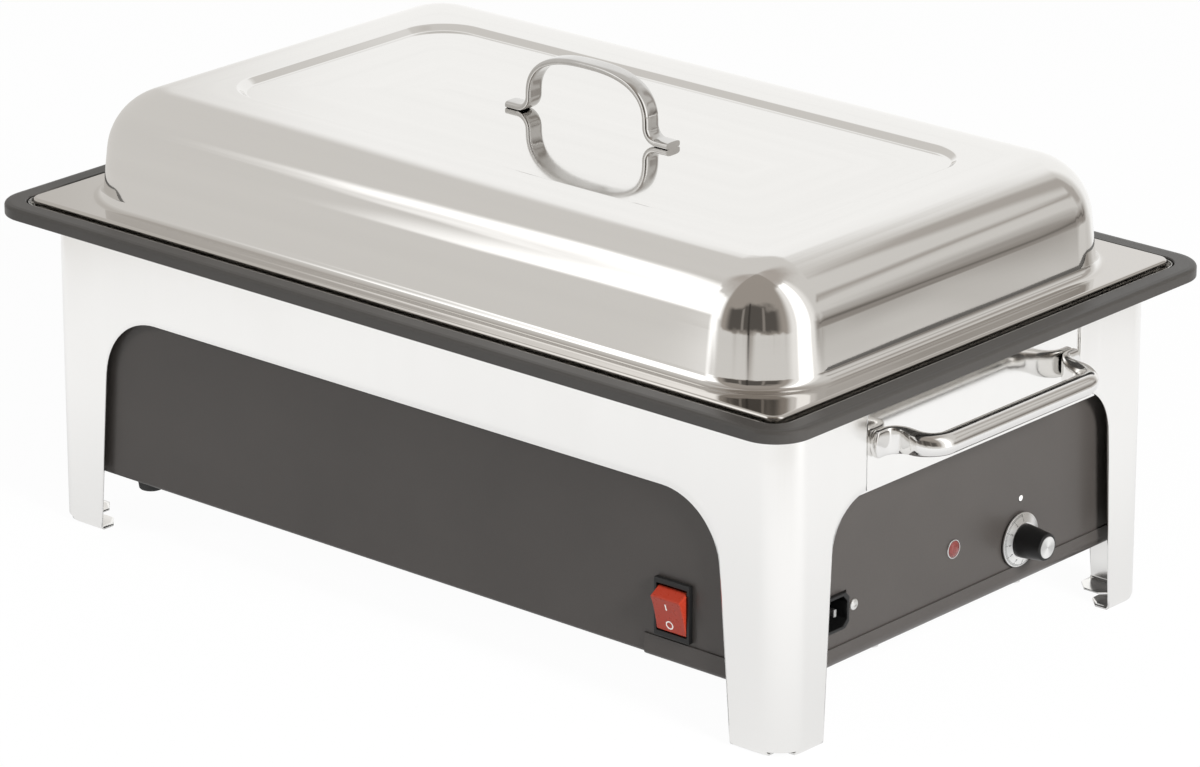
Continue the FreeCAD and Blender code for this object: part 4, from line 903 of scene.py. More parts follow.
def tank_surface(sizes):
    """Inside of the water tank, from its upturned edge down to the floor."""
    edge = (sizes.half_length, sizes.half_width, 0.0109)
    ledge, mouth, waist = (0.2615, 0.1587, 0.046), (0.2535, 0.1507, 0.0391), (0.2508, 0.1464, 0.0371)
    foot, floor = (0.2477, 0.1442, 0.0351), (0.2277, 0.1242, 0.0151)
    profile = bent_profile([
        (*edge, sizes.edge_top, 0.0),
        (*edge, sizes.flange, 0.0012),
        (*ledge, sizes.flange, 0.0),
        (*mouth, sizes.flange, 0.003),
        (*waist, sizes.waist, 0.0),
        (*foot, sizes.floor, 0.006),
        (*floor, sizes.floor, 0.0),
    ], steps=6)
    stations = np.concatenate([profile, closing_stations(profile[-1])])
    return rounded_rings(stations, corner_steps=14, side_steps=10)


def pan_surface(sizes):
    """Upper side of the food pan: turned-down edge, flange, wall and floor."""
    hx, hy, inset = sizes.half_length, sizes.half_width, 0.006
    ledge, mouth = (0.2573, 0.1543, 0.0511), (0.2513, 0.1483, 0.0451)
    foot, floor = (0.2447, 0.1417, 0.0411), (0.2247, 0.1217, 0.0211)
    profile = bent_profile([
        (hx, hy, 0.008, sizes.lip, 0.0),
        (hx, hy, 0.008, sizes.top, 0.0012),
        (hx - inset, hy - inset, 0.010, sizes.top, 0.0),
        (*ledge, sizes.top, 0.0),
        (*mouth, sizes.top, 0.003),
        (*foot, sizes.floor, 0.0111),
        (*floor, sizes.floor, 0.0),
    ], steps=8)
    stations = np.concatenate([profile, closing_stations(profile[-1])])
    return rounded_rings(stations, corner_steps=16, side_steps=10)


def lid_surface(sizes):
    """Outside of the lid: turned-down edge, flange, dome wall, shoulder, top and sunk panel."""
    foot = (sizes.foot_length, sizes.foot_width, 0.0449)
    panel = (sizes.panel_length, sizes.panel_width, 0.028)
    flange, top = sizes.flange, sizes.top
    shoulder_end = sizes.draft + sizes.shoulder + 0.002
    panel_floor = top - sizes.panel_depth

    def inset(outline, amount):
        """The rounded rectangle, that much smaller all round."""
        return tuple(part - amount for part in outline)

    profile = bent_profile([
        (sizes.half_length, sizes.half_width, 0.007, sizes.lip, 0.0),
        (sizes.half_length, sizes.half_width, 0.007, flange, 0.0016),
        (sizes.half_length - 0.003, sizes.half_width - 0.003, 0.005, flange, 0.0),
        (*inset(foot, -0.008), flange, 0.0),
        (*foot, flange, 0.006),
        (*inset(foot, sizes.draft), top, sizes.shoulder),
        (*inset(foot, shoulder_end), top, 0.0),
        (*inset(panel, -0.005), top, 0.0),
        (*panel, top, 0.003),
        (*inset(panel, 0.004), panel_floor, 0.003),
        (*inset(panel, 0.010), panel_floor, 0.0),
    ], steps=18)
    stations = np.concatenate([profile, closing_stations(profile[-1], steps=8)])
    return rounded_rings(stations, corner_steps=20, side_steps=16)


def bow_surface(sizes, seat):
    """Bow handle: a crowned strap carried along a foot, a foot bend and the bow, and mirrored.

    The bow is a squared ellipse: half width times the cosine and rise times the sine of an angle,
    each raised to two over the power. The angle's steps crowd towards the foot bend, to keep it smooth.
    """
    half, bend = sizes.bow_half_width, sizes.bow_foot_bend
    power, crowding, under_power, crown_power, section_steps = 2.6, 0.12, 5.0, 3.0, 48
    low = seat + sizes.bow_thickness / 2
    rise = sizes.bow_top - sizes.bow_thickness / 2 - low - bend
    foot = np.linspace(sizes.bow_half_span, half + bend, 5)
    down = np.linspace(0, np.pi / 2, 12)
    share_along = np.linspace(0, 1, 49)
    over = np.pi / 2 * (share_along + crowding * np.sin(2 * np.pi * share_along) * (share_along < 0.5))
    x = np.concatenate([foot, half + bend - bend * np.sin(down)[1:],
                        half * np.maximum(np.cos(over), 0)[1:] ** (2 / power)])
    z = np.concatenate([np.full(len(foot), low), low + bend - bend * np.cos(down)[1:],
                        low + bend + rise * np.sin(over)[1:] ** (2 / power)])
    x = np.concatenate([-x, x[::-1][1:]])
    z = np.concatenate([z, z[::-1][1:]])
    path = np.column_stack([x, 0 * x, z])
    tangent = np.gradient(path, axis=0)
    tangent[[0, -1]] = (1.0, 0.0, 0.0)
    tangent /= np.linalg.norm(tangent, axis=1, keepdims=True)
    across = np.broadcast_to([0.0, 1.0, 0.0], path.shape)
    up = np.cross(tangent, across)
    same = np.ones(len(path))
    wide, thick = same * sizes.bow_width / 2, same * sizes.bow_thickness / 2
    under, crowned = (oval(wide, thick, same * squareness, section_steps)
                      for squareness in (under_power, crown_power))
    return capped(swept(path, across, up, np.where(under[..., 1:] > 0, crowned, under)))


def carry_handle_surface(sizes, face):
    """Carry handle: paddle on the panel, bend outwards, bend along, and the bar, mirrored at the middle.

    The section goes from a flat rounded box at the paddle to a circle at the bar. At the tip its
    height follows a half circle, so the paddle's end is round.
    """
    flat, tall = sizes.paddle_thickness / 2, sizes.paddle_height / 2
    round_bar, height = sizes.grip_radius, sizes.grip_height
    middle_x = face + flat
    first, second = sizes.neck_bend, sizes.bar_bend
    neck, offset = sizes.neck, sizes.grip_offset
    arc = sizes.paddle_arc
    centre_y = arc - sizes.paddle_end
    tip_steps, turn_steps = 12, 13
    swing = np.linspace(0, np.pi / 2, tip_steps)
    tip_y = centre_y - arc * np.cos(swing)
    straight_y = np.linspace(centre_y, -neck - first, 4)[1:]
    on_paddle = tip_steps + len(straight_y)
    turn = np.linspace(0, np.pi / 2, turn_steps)
    x = np.concatenate([np.full(on_paddle, middle_x), middle_x + first - first * np.cos(turn)[1:],
                        [(middle_x + first + offset - second) / 2],
                        offset - second + second * np.sin(turn), [offset, offset]])
    y = np.concatenate([tip_y, straight_y, -neck - first + first * np.sin(turn)[1:], [-neck],
                        -neck + second - second * np.cos(turn), [-neck + 2 * second, 0.0]])
    heading = np.concatenate([np.zeros(on_paddle), turn[1:], [np.pi / 2], np.pi / 2 - turn, [0.0, 0.0]])
    shift = np.clip(np.linspace(-0.1, 1.25, 2 * turn_steps), 0, 1)
    blend = np.concatenate([np.zeros(on_paddle), shift * shift * (3 - 2 * shift), [1.0, 1.0]])
    wide = flat + (round_bar - flat) * blend
    high = tall + (round_bar - tall) * blend
    high[:tip_steps] = tall * np.sin(swing)
    box_power, circle_power = 4.5, 2.0
    squareness = box_power + (circle_power - box_power) * blend
    tangent = np.column_stack([np.sin(heading), np.cos(heading), 0 * heading])
    up = np.broadcast_to([0.0, 0.0, 1.0], tangent.shape)
    side = np.cross(up, tangent)
    half = swept(np.column_stack([x, y, height + 0 * x]), side, up, oval(wide, high, squareness))
    other = half[::-1][1:].copy()
    other[..., 1] *= -1
    whole = np.concatenate([half, other])
    whole[..., 0] = np.maximum(whole[..., 0], face)
    return whole


class DISH_OT_stand(bpy.types.Operator):
    """Front and rear panels of the stand, bent round the corners, with turned-in feet"""
    bl_idname = "dish.stand"
    bl_label = "Stand"

    def execute(self, context):
        sizes = context.scene.dish_stand
        front = stand_panel(sizes, sizes.end_top)
        rear = [mirrored(grid, 1) for grid in stand_panel(sizes, sizes.rear_end_top)]
        for name, grids in (("front_stand_panel", front), ("rear_stand_panel", rear)):
            place(name + "_sheet", grids, "satin_steel", "base", (name, ), closed=(False, False),
                  sheet=sizes.sheet)
        return {"FINISHED"}


class DISH_OT_rim(bpy.types.Operator):
    """Moulded plastic rim that holds the tank"""
    bl_idname = "dish.rim"
    bl_label = "Rim"

    def execute(self, context):
        place("rim_moulding", [rim_surface(context.scene.dish_rim)], "black_rim", "base", ("plastic_rim", ),
              closed=(True, True))
        return {"FINISHED"}


class DISH_OT_tank(bpy.types.Operator):
    """Water tank with its upturned edge"""
    bl_idname = "dish.tank"
    bl_label = "Water tank"

    def execute(self, context):
        sizes = context.scene.dish_tank
        place("tank_sheet", [tank_surface(sizes)], "inner_steel", "base", ("water_tank", "tank_floor"),
              sheet=sizes.sheet)
        return {"FINISHED"}


class DISH_OT_pan(bpy.types.Operator):
    """Food pan that hangs in the tank"""
    bl_idname = "dish.pan"
    bl_label = "Food pan"

    def execute(self, context):
        sizes = context.scene.dish_pan
        place("pan_sheet", [pan_surface(sizes)], "inner_steel", "food_pan", ("food_pan", ),
              sheet=sizes.sheet)
        return {"FINISHED"}


class DISH_OT_lid(bpy.types.Operator):
    """Domed lid with its sunk top panel"""
    bl_idname = "dish.lid"
    bl_label = "Lid"

    def execute(self, context):
        sizes = context.scene.dish_lid
        place("lid_dome", [lid_surface(sizes)], "polished_steel", "lid", ("lid_shell", ),
              sheet=sizes.sheet)
        return {"FINISHED"}


class DISH_OT_handles(bpy.types.Operator):
    """Bow handle on the lid and the two carry handles"""
    bl_idname = "dish.handles"
    bl_label = "Handles"

    def execute(self, context):
        sizes = context.scene.dish_handles
        lid = context.scene.dish_lid
        bow = bow_surface(sizes, lid.top - lid.panel_depth)
        place("bow_strap", [bow], "shaded_bow_steel", "lid", ("lid_handle", ), sharp=50.0)
        right = carry_handle_surface(sizes, reach("right_end_panel", 0))
        for name, grid in (("right_carry_handle", right), ("left_carry_handle", mirrored(right, 0))):
            place(name + "_bar", [grid], "handle_steel", "base", (name, ), sharp=60.0, flat=False)
        return {"FINISHED"}


class DISH_OT_feet(bpy.types.Operator):
    """Four rubber feet under the housing, each with a well for its screw"""
    bl_idname = "dish.feet"
    bl_label = "Rubber feet"

    def execute(self, context):
        sizes = context.scene.dish_controls
        low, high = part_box("housing_feet")
        radius, top = sizes.foot_radius, high[2]
        bottom = top - sizes.foot_height
        hole, well, base_depth = 0.002, 0.0045, 0.003
        profile = rounded_line([(top, hole, 0.0), (top - base_depth, hole, 0.0),
                                (top - base_depth, well, 0.0003), (bottom, well, 0.0006),
                                (bottom, radius - 0.0012, 0.0012), (top, radius, 0.0005), (top, hole, 0.0)])
        grids = [turned(profile, (x, y, 0), 2, 48) for x in (low[0] + radius, high[0] - radius)
                 for y in (low[1] + radius, high[1] - radius)]
        place("rubber_feet", grids, "black_rubber", "base", ("housing_feet", ))
        return {"FINISHED"}


BEZEL_OUT = 0.001
DIAL_TOP_RADIUS = 0.0098


def knob_places(controls):
    """Middle of the knob on the housing's end, and the end's place along X."""
    return (0.0, controls.knob_y, controls.knob_z), reach("indicator_bezel", 0) - BEZEL_OUT


def dial_places(end):
    """Where the dial's back, its rim's edge and its front are along X."""
    return end + 0.0012, end + 0.0021, end + 0.004


class DISH_OT_knob(bpy.types.Operator):
    """Thermostat knob: dial with a sloping face, black grip and bright cap"""
    bl_idname = "dish.knob"
    bl_label = "Knob"

    def execute(self, context):
        controls = context.scene.dish_controls
        centre, end = knob_places(controls)
        back, edge, front = dial_places(end)
        radius, bore, hollow, cap_radius = controls.dial_radius, 0.003, 0.0086, 0.006
        hollow_depth = back + 0.0013
        dial = rounded_line([(hollow_depth, bore, 0.0), (hollow_depth, hollow, 0.0), (back, hollow, 0.0),
                             (back, radius, 0.0002), (edge, radius, 0.00035),
                             (front, DIAL_TOP_RADIUS, 0.0004), (front, bore, 0.0), (hollow_depth, bore, 0.0)])
        place("dial_skirt", [turned(dial, centre, 0, 96)], "spun_aluminium", "thermostat_knob",
              ("knob_dial", ))
        tip, well = end + 0.0196, end + 0.012
        seat = tip - 0.0005
        foot = controls.grip_foot
        grip = rounded_line([(well, 0.0, 0.0), (well, bore, 0.0), (front, bore, 0.0),
                             (front, foot, 0.0003), (front + 0.0012, foot, 0.0006),
                             (tip, controls.grip_tip, 0.0009), (tip, cap_radius, 0.0002),
                             (seat, cap_radius, 0.0), (seat, 0.0, 0.0)])
        flutes, flute_depth, steps = 24, 0.012, 144
        points = turned(grip, centre, 0, steps)
        angle = np.linspace(0, 2 * np.pi, steps, endpoint=False)
        away = points[..., 0]
        fade_in, tip_margin, fade_out, core_radius = 0.002, 0.0012, 0.001, 0.0068
        fluted = (np.clip((away - front - fade_in) / fade_in, 0, 1)
                  * np.clip((tip - tip_margin - away) / fade_out, 0, 1))
        outer = grip[:, 1:] > core_radius
        swell = 1 - flute_depth * fluted * outer * (0.5 + 0.5 * np.cos(flutes * angle))[None]
        points[..., 1:] = (points[..., 1:] - centre[1:]) * swell[..., None] + centre[1:]
        place("knob_grip_black", [points], "black_plastic", "thermostat_knob", ("knob_grip", ), flat=False)
        cap = rounded_line([(seat, 0.0, 0.0), (seat, cap_radius, 0.0), (tip + 0.0003, cap_radius, 0.00025),
                            (tip + 0.0003, 0.004, 0.0), (tip + 0.00015, 0.0, 0.0)])
        place("knob_cap_disc", [turned(cap, centre, 0, 64)], "spun_aluminium", "thermostat_knob",
              ("knob_cap", ))
        return {"FINISHED"}


def text_mesh(text, height, thickness):
    """A thin solid of a figure, flat in its own X and Y, with its middle at the origin."""
    curve = bpy.data.curves.new("figure", "FONT")
    curve.body = text
    curve.size = height
    curve.align_x = "CENTER"
    curve.align_y = "CENTER"
    curve.extrude = thickness / 2
    curve.resolution_u = 3
    holder = link_object("figure", curve)
    bpy.context.view_layer.update()
    mesh = bpy.data.meshes.new_from_object(holder)
    bpy.data.objects.remove(holder)
    return mesh


def mesh_arrays(mesh):
    """A mesh's points and faces."""
    points = np.empty(len(mesh.vertices) * 3)
    mesh.vertices.foreach_get("co", points)
    return points.reshape(-1, 3), [tuple(face.vertices) for face in mesh.polygons]


def joined_figures(name, parts):
    """One mesh from several lists of points and faces, all facing outwards."""
    start = 0
    points, faces = [], []
    for part_points, part_faces in parts:
        points.append(part_points)
        faces += [tuple(corner + start for corner in face) for face in part_faces]
        start += len(part_points)
    mesh = bpy.data.meshes.new(name)
    mesh.from_pydata(np.concatenate(points).tolist(), [], faces)
    mesh.uv_layers.new(name="UVMap")
    form = bmesh.new()
    form.from_mesh(mesh)
    bmesh.ops.remove_doubles(form, verts=form.verts, dist=MARK_JOIN_DISTANCE)
    bmesh.ops.recalc_face_normals(form, faces=form.faces)
    form.to_mesh(mesh)
    form.free()
    return mesh


class DISH_OT_dial_marks(bpy.types.Operator):
    """Lines and figures 1 to 10 on the dial's sloping face, and the index dot above it"""
    bl_idname = "dish.dial_marks"
    bl_label = "Dial marks"

    def execute(self, context):
        controls = context.scene.dish_controls
        centre, end = knob_places(controls)
        edge, front = dial_places(end)[1:]
        radius = controls.dial_radius
        slope = (front - edge) / (radius - DIAL_TOP_RADIUS)

        def on_dial(angle, distance, lift):
            """Point on the sloping face: its distance from the axis sets how far out it is."""
            x = edge + slope * (radius - distance) + lift
            return np.stack([x, centre[1] + distance * np.cos(angle), centre[2] + distance * np.sin(angle)],
                            axis=-1)

        step, count, lines_to_a_figure = math.radians(3), 91, 10
        ink, line_out, figure_out, figure_height, figure_thickness = 0.00003, 0.0005, 0.0037, 0.0024, 0.00008
        long_end, short_end, long_half, short_half, line_middle = 0.0023, 0.0017, 0.00016, 0.00010, 0.0014
        angle = math.pi / 2 + np.arange(count)[:, None] * step
        long_line = (np.arange(count) % lines_to_a_figure == 0)[:, None]
        inner = np.where(long_line, radius - long_end, radius - short_end)
        half_wide = np.where(long_line, long_half, short_half)
        corner_angle = np.array([-1, 1, 1, -1, -1, 1, 1, -1])[None] * half_wide / (radius - line_middle)
        corner_out = np.where(np.array([0, 0, 1, 1, 0, 0, 1, 1])[None] > 0, radius - line_out, inner)
        lift = np.array([-1, -1, -1, -1, 1, 1, 1, 1])[None] * ink
        points = on_dial(angle + corner_angle, corner_out, lift + 0 * corner_out)
        box = np.array([[0, 1, 2, 3], [7, 6, 5, 4], [4, 5, 1, 0], [5, 6, 2, 1], [6, 7, 3, 2], [7, 4, 0, 3]])
        faces = (box[None] + 8 * np.arange(count)[:, None, None]).reshape(-1, 4)
        parts = [(points.reshape(-1, 3), faces.tolist())]
        for number in range(10):
            flat, figure_faces = mesh_arrays(text_mesh(str(number + 1), figure_height, figure_thickness))
            distance = radius - figure_out + flat[:, 1]
            turn = math.pi / 2 + step * lines_to_a_figure * number - flat[:, 0] / distance
            parts.append((on_dial(turn, distance, flat[:, 2]), figure_faces))
        place("dial_figures", joined_figures("dial_figures", parts), "print_black", "thermostat_knob",
              flat=False, sharp=20.0)
        dot, under, ring_wide = controls.dot_radius, end - 0.0004, 0.0004
        drop = rounded_line([(under, 0.0, 0.0), (under, dot, 0.0), (end + 0.0002, dot, 0.00015),
                             (end + 0.0005, dot * 0.5, 0.0015), (end + 0.00055, 0.0, 0.0)])
        ring = rounded_line([(under, dot, 0.0), (under, dot + ring_wide, 0.0),
                             (end + 0.0001, dot + ring_wide, 0.00005), (end + 0.0001, dot, 0.0),
                             (under, dot, 0.0)])
        middle = (0.0, controls.knob_y + controls.dot_aside, controls.knob_z + controls.dot_above)
        for name, profile, look in (("index_dot", drop, "print_white"),
                                    ("index_dot_ring", ring, "print_black")):
            place(name, [turned(profile, middle, 0, 40)], look, "base")
        return {"FINISHED"}


class DISH_OT_indicator(bpy.types.Operator):
    """Indicator lamp: bright bezel and domed red lens"""
    bl_idname = "dish.indicator"
    bl_label = "Indicator lamp"

    def execute(self, context):
        controls = context.scene.dish_controls
        end = knob_places(controls)[1]
        centre = (0.0, controls.lamp_y, controls.lamp_z)
        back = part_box("indicator_bezel")[0][0]
        bore, barrel, flange, lens_radius, curve = 0.0036, 0.0042, 0.0053, 0.0046, 0.007
        front = end + 0.0009
        bezel = rounded_line([(back, bore, 0.0), (back, barrel, 0.0), (end, barrel, 0.0), (end, flange, 0.0),
                              (front, flange, 0.0004), (front, 0.0047, 0.0002), (end - 0.001, bore, 0.0),
                              (back, bore, 0.0)])
        place("lamp_bezel", [turned(bezel, centre, 0, 56)], "chrome", "base", ("indicator_bezel", ))
        swell = np.linspace(math.asin(lens_radius / curve), 0, 10)
        curve_middle, lens_back, lens_edge = end - 0.0044, end - 0.004, end - 0.0008
        dome = np.column_stack([curve_middle + curve * np.cos(swell), curve * np.sin(swell)])
        lens = np.concatenate([[(lens_back, 0.0), (lens_back, 0.0035), (lens_edge, bore)], dome])
        place("lamp_lens", [turned(lens, centre, 0, 56)], "lens", "base", ("indicator_lens", ))
        return {"FINISHED"}


def slanted_rings(stations, centre):
    """Six-cornered rings in the plane of Y and Z: half width, half height, slant and place along X."""
    half_y, half_z, slant, place_x = (np.asarray(stations)[:, part, None] for part in range(4))
    y = np.concatenate([-half_y, half_y - slant, half_y, half_y, half_y - slant, -half_y], axis=1)
    z = np.concatenate([-half_z, -half_z, slant - half_z, half_z - slant, half_z, half_z], axis=1)
    return np.stack([place_x + 0 * y, centre[0] + y, centre[1] + z], axis=-1)


class DISH_OT_inlet(bpy.types.Operator):
    """Mains inlet with its slanted collar and deep socket, and its two screws"""
    bl_idname = "dish.inlet"
    bl_label = "Mains inlet"

    def execute(self, context):
        controls = context.scene.dish_controls
        end = knob_places(controls)[1]
        centre = (controls.inlet_y, controls.inlet_z)
        wall, front, back = end - 0.0012, end + 0.0024, end - 0.024
        ears, socket_floor = wall - 0.002, front - 0.017
        shut, body, flange = (0.0, 0.0, 0.0), (0.0132, 0.0094, 0.003), (0.025, 0.011, 0.001)
        collar, socket = (0.014, 0.010, 0.003), (0.0121, 0.0082, 0.0032)
        rings = slanted_rings([
            (*shut, back), (*body, back), (*body, ears), (*flange, ears), (*flange, wall), (*collar, wall),
            (*collar, front), (*socket, front), (*socket, socket_floor), (*shut, socket_floor)], centre)
        place("inlet_moulding", [rings], "black_plastic", "base", ("power_inlet", ), bevel=0.0004)
        low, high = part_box("inlet_screws")
        thread, head, nut_radius, nut_back, screw_apart = 0.00175, 0.0031, 0.00317, wall - 0.0044, 0.02
        shaft = rounded_line([(low[0], 0.0, 0.0), (low[0], thread, 0.0), (end, thread, 0.0),
                              (end, head, 0.0001), (end + 0.0007, head, 0.0008), (high[0], 0.0012, 0.0001),
                              (high[0] - 0.0005, 0.0009, 0.0), (high[0] - 0.0006, 0.0, 0.0)])
        nut = [(nut_back, 0.0), (nut_back, nut_radius), (ears, nut_radius), (ears, 0.0)]
        grids = []
        for side in (-screw_apart, screw_apart):
            middle = (0.0, centre[0] + side, centre[1])
            grids += [turned(shaft, middle, 0, 32), turned(nut, middle, 0, 6)]
        place("inlet_pan_screws", grids, "zinc_steel", "base", ("inlet_screws", ))
        return {"FINISHED"}


def leaned(points, pivot, angle):
    """Points turned about an axis along X through the pivot's Y and Z."""
    y, z = points[..., 1] - pivot[0], points[..., 2] - pivot[1]
    out = points.copy()
    out[..., 1] = pivot[0] + y * math.cos(angle) - z * math.sin(angle)
    out[..., 2] = pivot[1] + y * math.sin(angle) + z * math.cos(angle)
    return out


class DISH_OT_switch(bpy.types.Operator):
    """Rocker switch: black frame, red rocker and its two white marks"""
    bl_idname = "dish.switch"
    bl_label = "Rocker switch"

    def execute(self, context):
        controls = context.scene.dish_controls
        x, z = controls.switch_x, controls.switch_z
        out = controls.frame_out
        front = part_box("switch_body")[0][1] + out
        lip, back, floor = front - out, front + 0.022, front + 0.011
        shut, body, flange, mouth = (0.0, 0.0), (0.011, 0.0142), (0.0119, 0.016), (0.0102, 0.013)
        rings = [[(x - half_x, y, z - half_z), (x + half_x, y, z - half_z), (x + half_x, y, z + half_z),
                  (x - half_x, y, z + half_z)]
                 for (half_x, half_z), y in ((shut, back), (body, back), (body, front), (flange, front),
                                             (flange, lip), (mouth, lip), (mouth, floor), (shut, floor))]
        place("switch_frame", [np.array(rings)], "black_plastic", "base", ("switch_body", ), bevel=0.0004)
        axis_y = controls.rocker_y
        pivot = (axis_y, z)
        face = axis_y - controls.rocker_out
        half_high, half_wide, half_pin, pin_radius, hollow_depth = 0.0104, 0.0099, 0.0106, 0.0015, 0.0005
        shoulder, heel, shoulder_high, heel_high = axis_y - 0.001, axis_y + 0.0025, 0.0126, 0.004
        hollow = np.linspace(-1, 1, 9)
        y = np.concatenate([face + hollow_depth * (1 - hollow ** 2), [shoulder, heel, heel, shoulder]])
        ends = [shoulder_high, heel_high, -heel_high, -shoulder_high]
        high = z + np.concatenate([half_high * hollow, ends])
        sides = np.array([x - half_wide, x + half_wide])[:, None]
        body = np.stack([sides + 0 * y, y + 0 * sides, high + 0 * sides], axis=-1)[:, ::-1]
        pin = turned([(x - half_pin, 0.0), (x - half_pin, pin_radius), (x + half_pin, pin_radius),
                      (x + half_pin, 0.0)], (0.0, *pivot), 0, 24)
        place("rocker", [leaned(capped(body), pivot, controls.rocker_tilt), pin], "red_plastic",
              "switch_rocker", ("switch_rocker", ), bevel=0.0007)

        print_thickness, print_lift = 0.0001, 0.00002

        def on_rocker(flat, aside, above):
            """Place a flat figure on the hollow front of the rocker, away from its middle."""
            up = flat[:, 1] + above
            away = face + hollow_depth * (1 - (up / half_high) ** 2) - flat[:, 2] - print_lift
            return leaned(np.stack([x + aside + flat[:, 0], away, z + up], axis=-1), pivot,
                          controls.rocker_tilt)

        bar, bar_faces = rounded_bar(half_wide=0.00042, half_high=0.0019, thickness=print_thickness)
        ring, ring_faces = flat_ring(radius=0.0021, stroke=0.0007, thickness=print_thickness)
        marks = joined_figures("rocker_marks", [
            (on_rocker(bar, aside=-0.0008, above=0.0050), bar_faces),
            (on_rocker(ring, aside=-0.0005, above=-0.0060), ring_faces)])
        place("rocker_marks", marks, "print_white", "switch_rocker", flat=False)
        return {"FINISHED"}


def rounded_bar(half_wide, half_high, thickness):
    """A thin upright stroke: a closed tube of oval rings, one for each height."""
    height = np.linspace(-1, 1, 9) * half_high
    each, squareness = np.ones(len(height)), 6.0
    path = np.column_stack([0 * height, height, 0 * height])
    aside = np.broadcast_to([1.0, 0.0, 0.0], path.shape)
    above = np.broadcast_to([0.0, 0.0, 1.0], path.shape)
    sections = oval(each * half_wide, each * thickness / 2, each * squareness, steps=12)
    points = capped(swept(path, aside, above, sections))
    return points.reshape(-1, 3), grid_faces(*points.shape[:2], False, True)[0].tolist()


def flat_ring(radius, stroke, thickness):
    """A thin ring: a box section carried round a circle."""
    angle = np.linspace(0, 2 * np.pi, 40, endpoint=False)[:, None]
    out = radius + np.array([-1, 1, 1, -1])[None] * stroke / 2
    lift = np.array([-1, -1, 1, 1])[None] * thickness / 2
    points = np.stack([out * np.cos(angle), out * np.sin(angle), lift + 0 * angle], axis=-1)
    return points.reshape(-1, 3), grid_faces(*points.shape[:2], True, True)[0].tolist()


class DISH_OT_inner_parts(bpy.types.Operator):
    """Finishes for the sub-parts whose shape comes straight from the frame"""
    bl_idname = "dish.inner_parts"
    bl_label = "Frame's own parts"

    def execute(self, context):
        by_name = {"right_end_panel": "mirror_steel", "left_end_panel": "mirror_steel",
                   "inlet_blades": "zinc_steel"}
        by_slot = {"satin_steel": "zinc_steel", "polished_steel": "chrome"}
        for name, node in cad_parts.items():
            slot = node.material_slots[0].name.split(".")[0]
            look = by_name.get(name, by_slot.get(slot, slot))
            for holder in node.material_slots:
                holder.material = finish(look)
        return {"FINISHED"}


# Studio


WHITE = (1.0, 1.0, 1.0, 1.0)


def seen_directly(tree):
    """One for what the camera sees, also through glass, and nothing for other rays."""
    path = add(tree, "ShaderNodeLightPath").outputs
    return maths(tree, "MAXIMUM", path["Is Camera Ray"], path["Is Transmission Ray"]), path


def floor_material(evenly_seen, evenly_mirrored):
    """Plain white floor that keeps shadows. The camera and mirrors see it more evenly lit.

    Mirrors see it greyer near the object: painted shade, for where the object keeps the room's light away.
    """
    material, tree = empty_material("pale_floor")
    direct, path = seen_directly(tree)
    direct = maths(tree, "MULTIPLY", direct, evenly_seen)
    glossy = maths(tree, "MULTIPLY", path["Is Glossy Ray"], evenly_mirrored)
    # Painted shade: for mirrors, the floor's light grows dimmer towards the object.
    near, far, painted_shade_grey = 0.25, 0.58, 0.84
    away = length_of(tree, add(tree, "ShaderNodeTexCoord").outputs["Object"])
    painted_shade_strength = add(tree, "ShaderNodeMapRange", {"Value": away, "From Min": near, "From Max": far,
                                               "To Min": painted_shade_grey, "To Max": 1.0},
                  interpolation_type="SMOOTHSTEP").outputs["Result"]
    plain = add(tree, "ShaderNodeBsdfDiffuse", {"Color": WHITE})
    painted_shade_light = add(tree, "ShaderNodeEmission", {"Color": WHITE, "Strength": painted_shade_strength})
    bright = add(tree, "ShaderNodeEmission", {"Color": WHITE, "Strength": 1.0})
    inner = add(tree, "ShaderNodeMixShader", {0: glossy, 1: plain.outputs[0], 2: painted_shade_light.outputs[0]})
    mixed = add(tree, "ShaderNodeMixShader", {0: direct, 1: inner.outputs[0], 2: bright.outputs[0]})
    add(tree, "ShaderNodeOutputMaterial", {"Surface": mixed.outputs[0]})
    return material


def patch_effect():
    """Mask of a soft-edged patch of the studio's wall, given by its angles in degrees."""
    def fill(group, given):
        turn = maths(group, "SUBTRACT", given["Azimuth"], given["Middle"])
        away = maths(group, "ABSOLUTE", maths(group, "WRAP", turn, 180.0, -180.0))

        def edge(value, limit, past):
            """One or nothing, as given, where the value is past the limit, and the other before it."""
            ratio = maths(group, "DIVIDE", maths(group, "SUBTRACT", value, limit), given["Softness"])
            node = add(group, "ShaderNodeMapRange", {"Value": ratio, "From Min": -0.5, "From Max": 0.5,
                                                     "To Min": 1.0 - past, "To Max": past},
                       interpolation_type="SMOOTHSTEP")
            return node.outputs["Result"]

        mask = edge(away, given["Half width"], 0.0)
        mask = maths(group, "MULTIPLY", mask, edge(given["Elevation"], given["Low"], 1.0))
        return {"Mask": maths(group, "MULTIPLY", mask, edge(given["Elevation"], given["High"], 0.0))}
    return effect("wall_patch", [(label, "NodeSocketFloat", 0.0) for label in
                                 ("Azimuth", "Elevation", "Middle", "Half width", "Low", "High",
                                  "Softness")], [("Mask", "NodeSocketFloat")], fill)


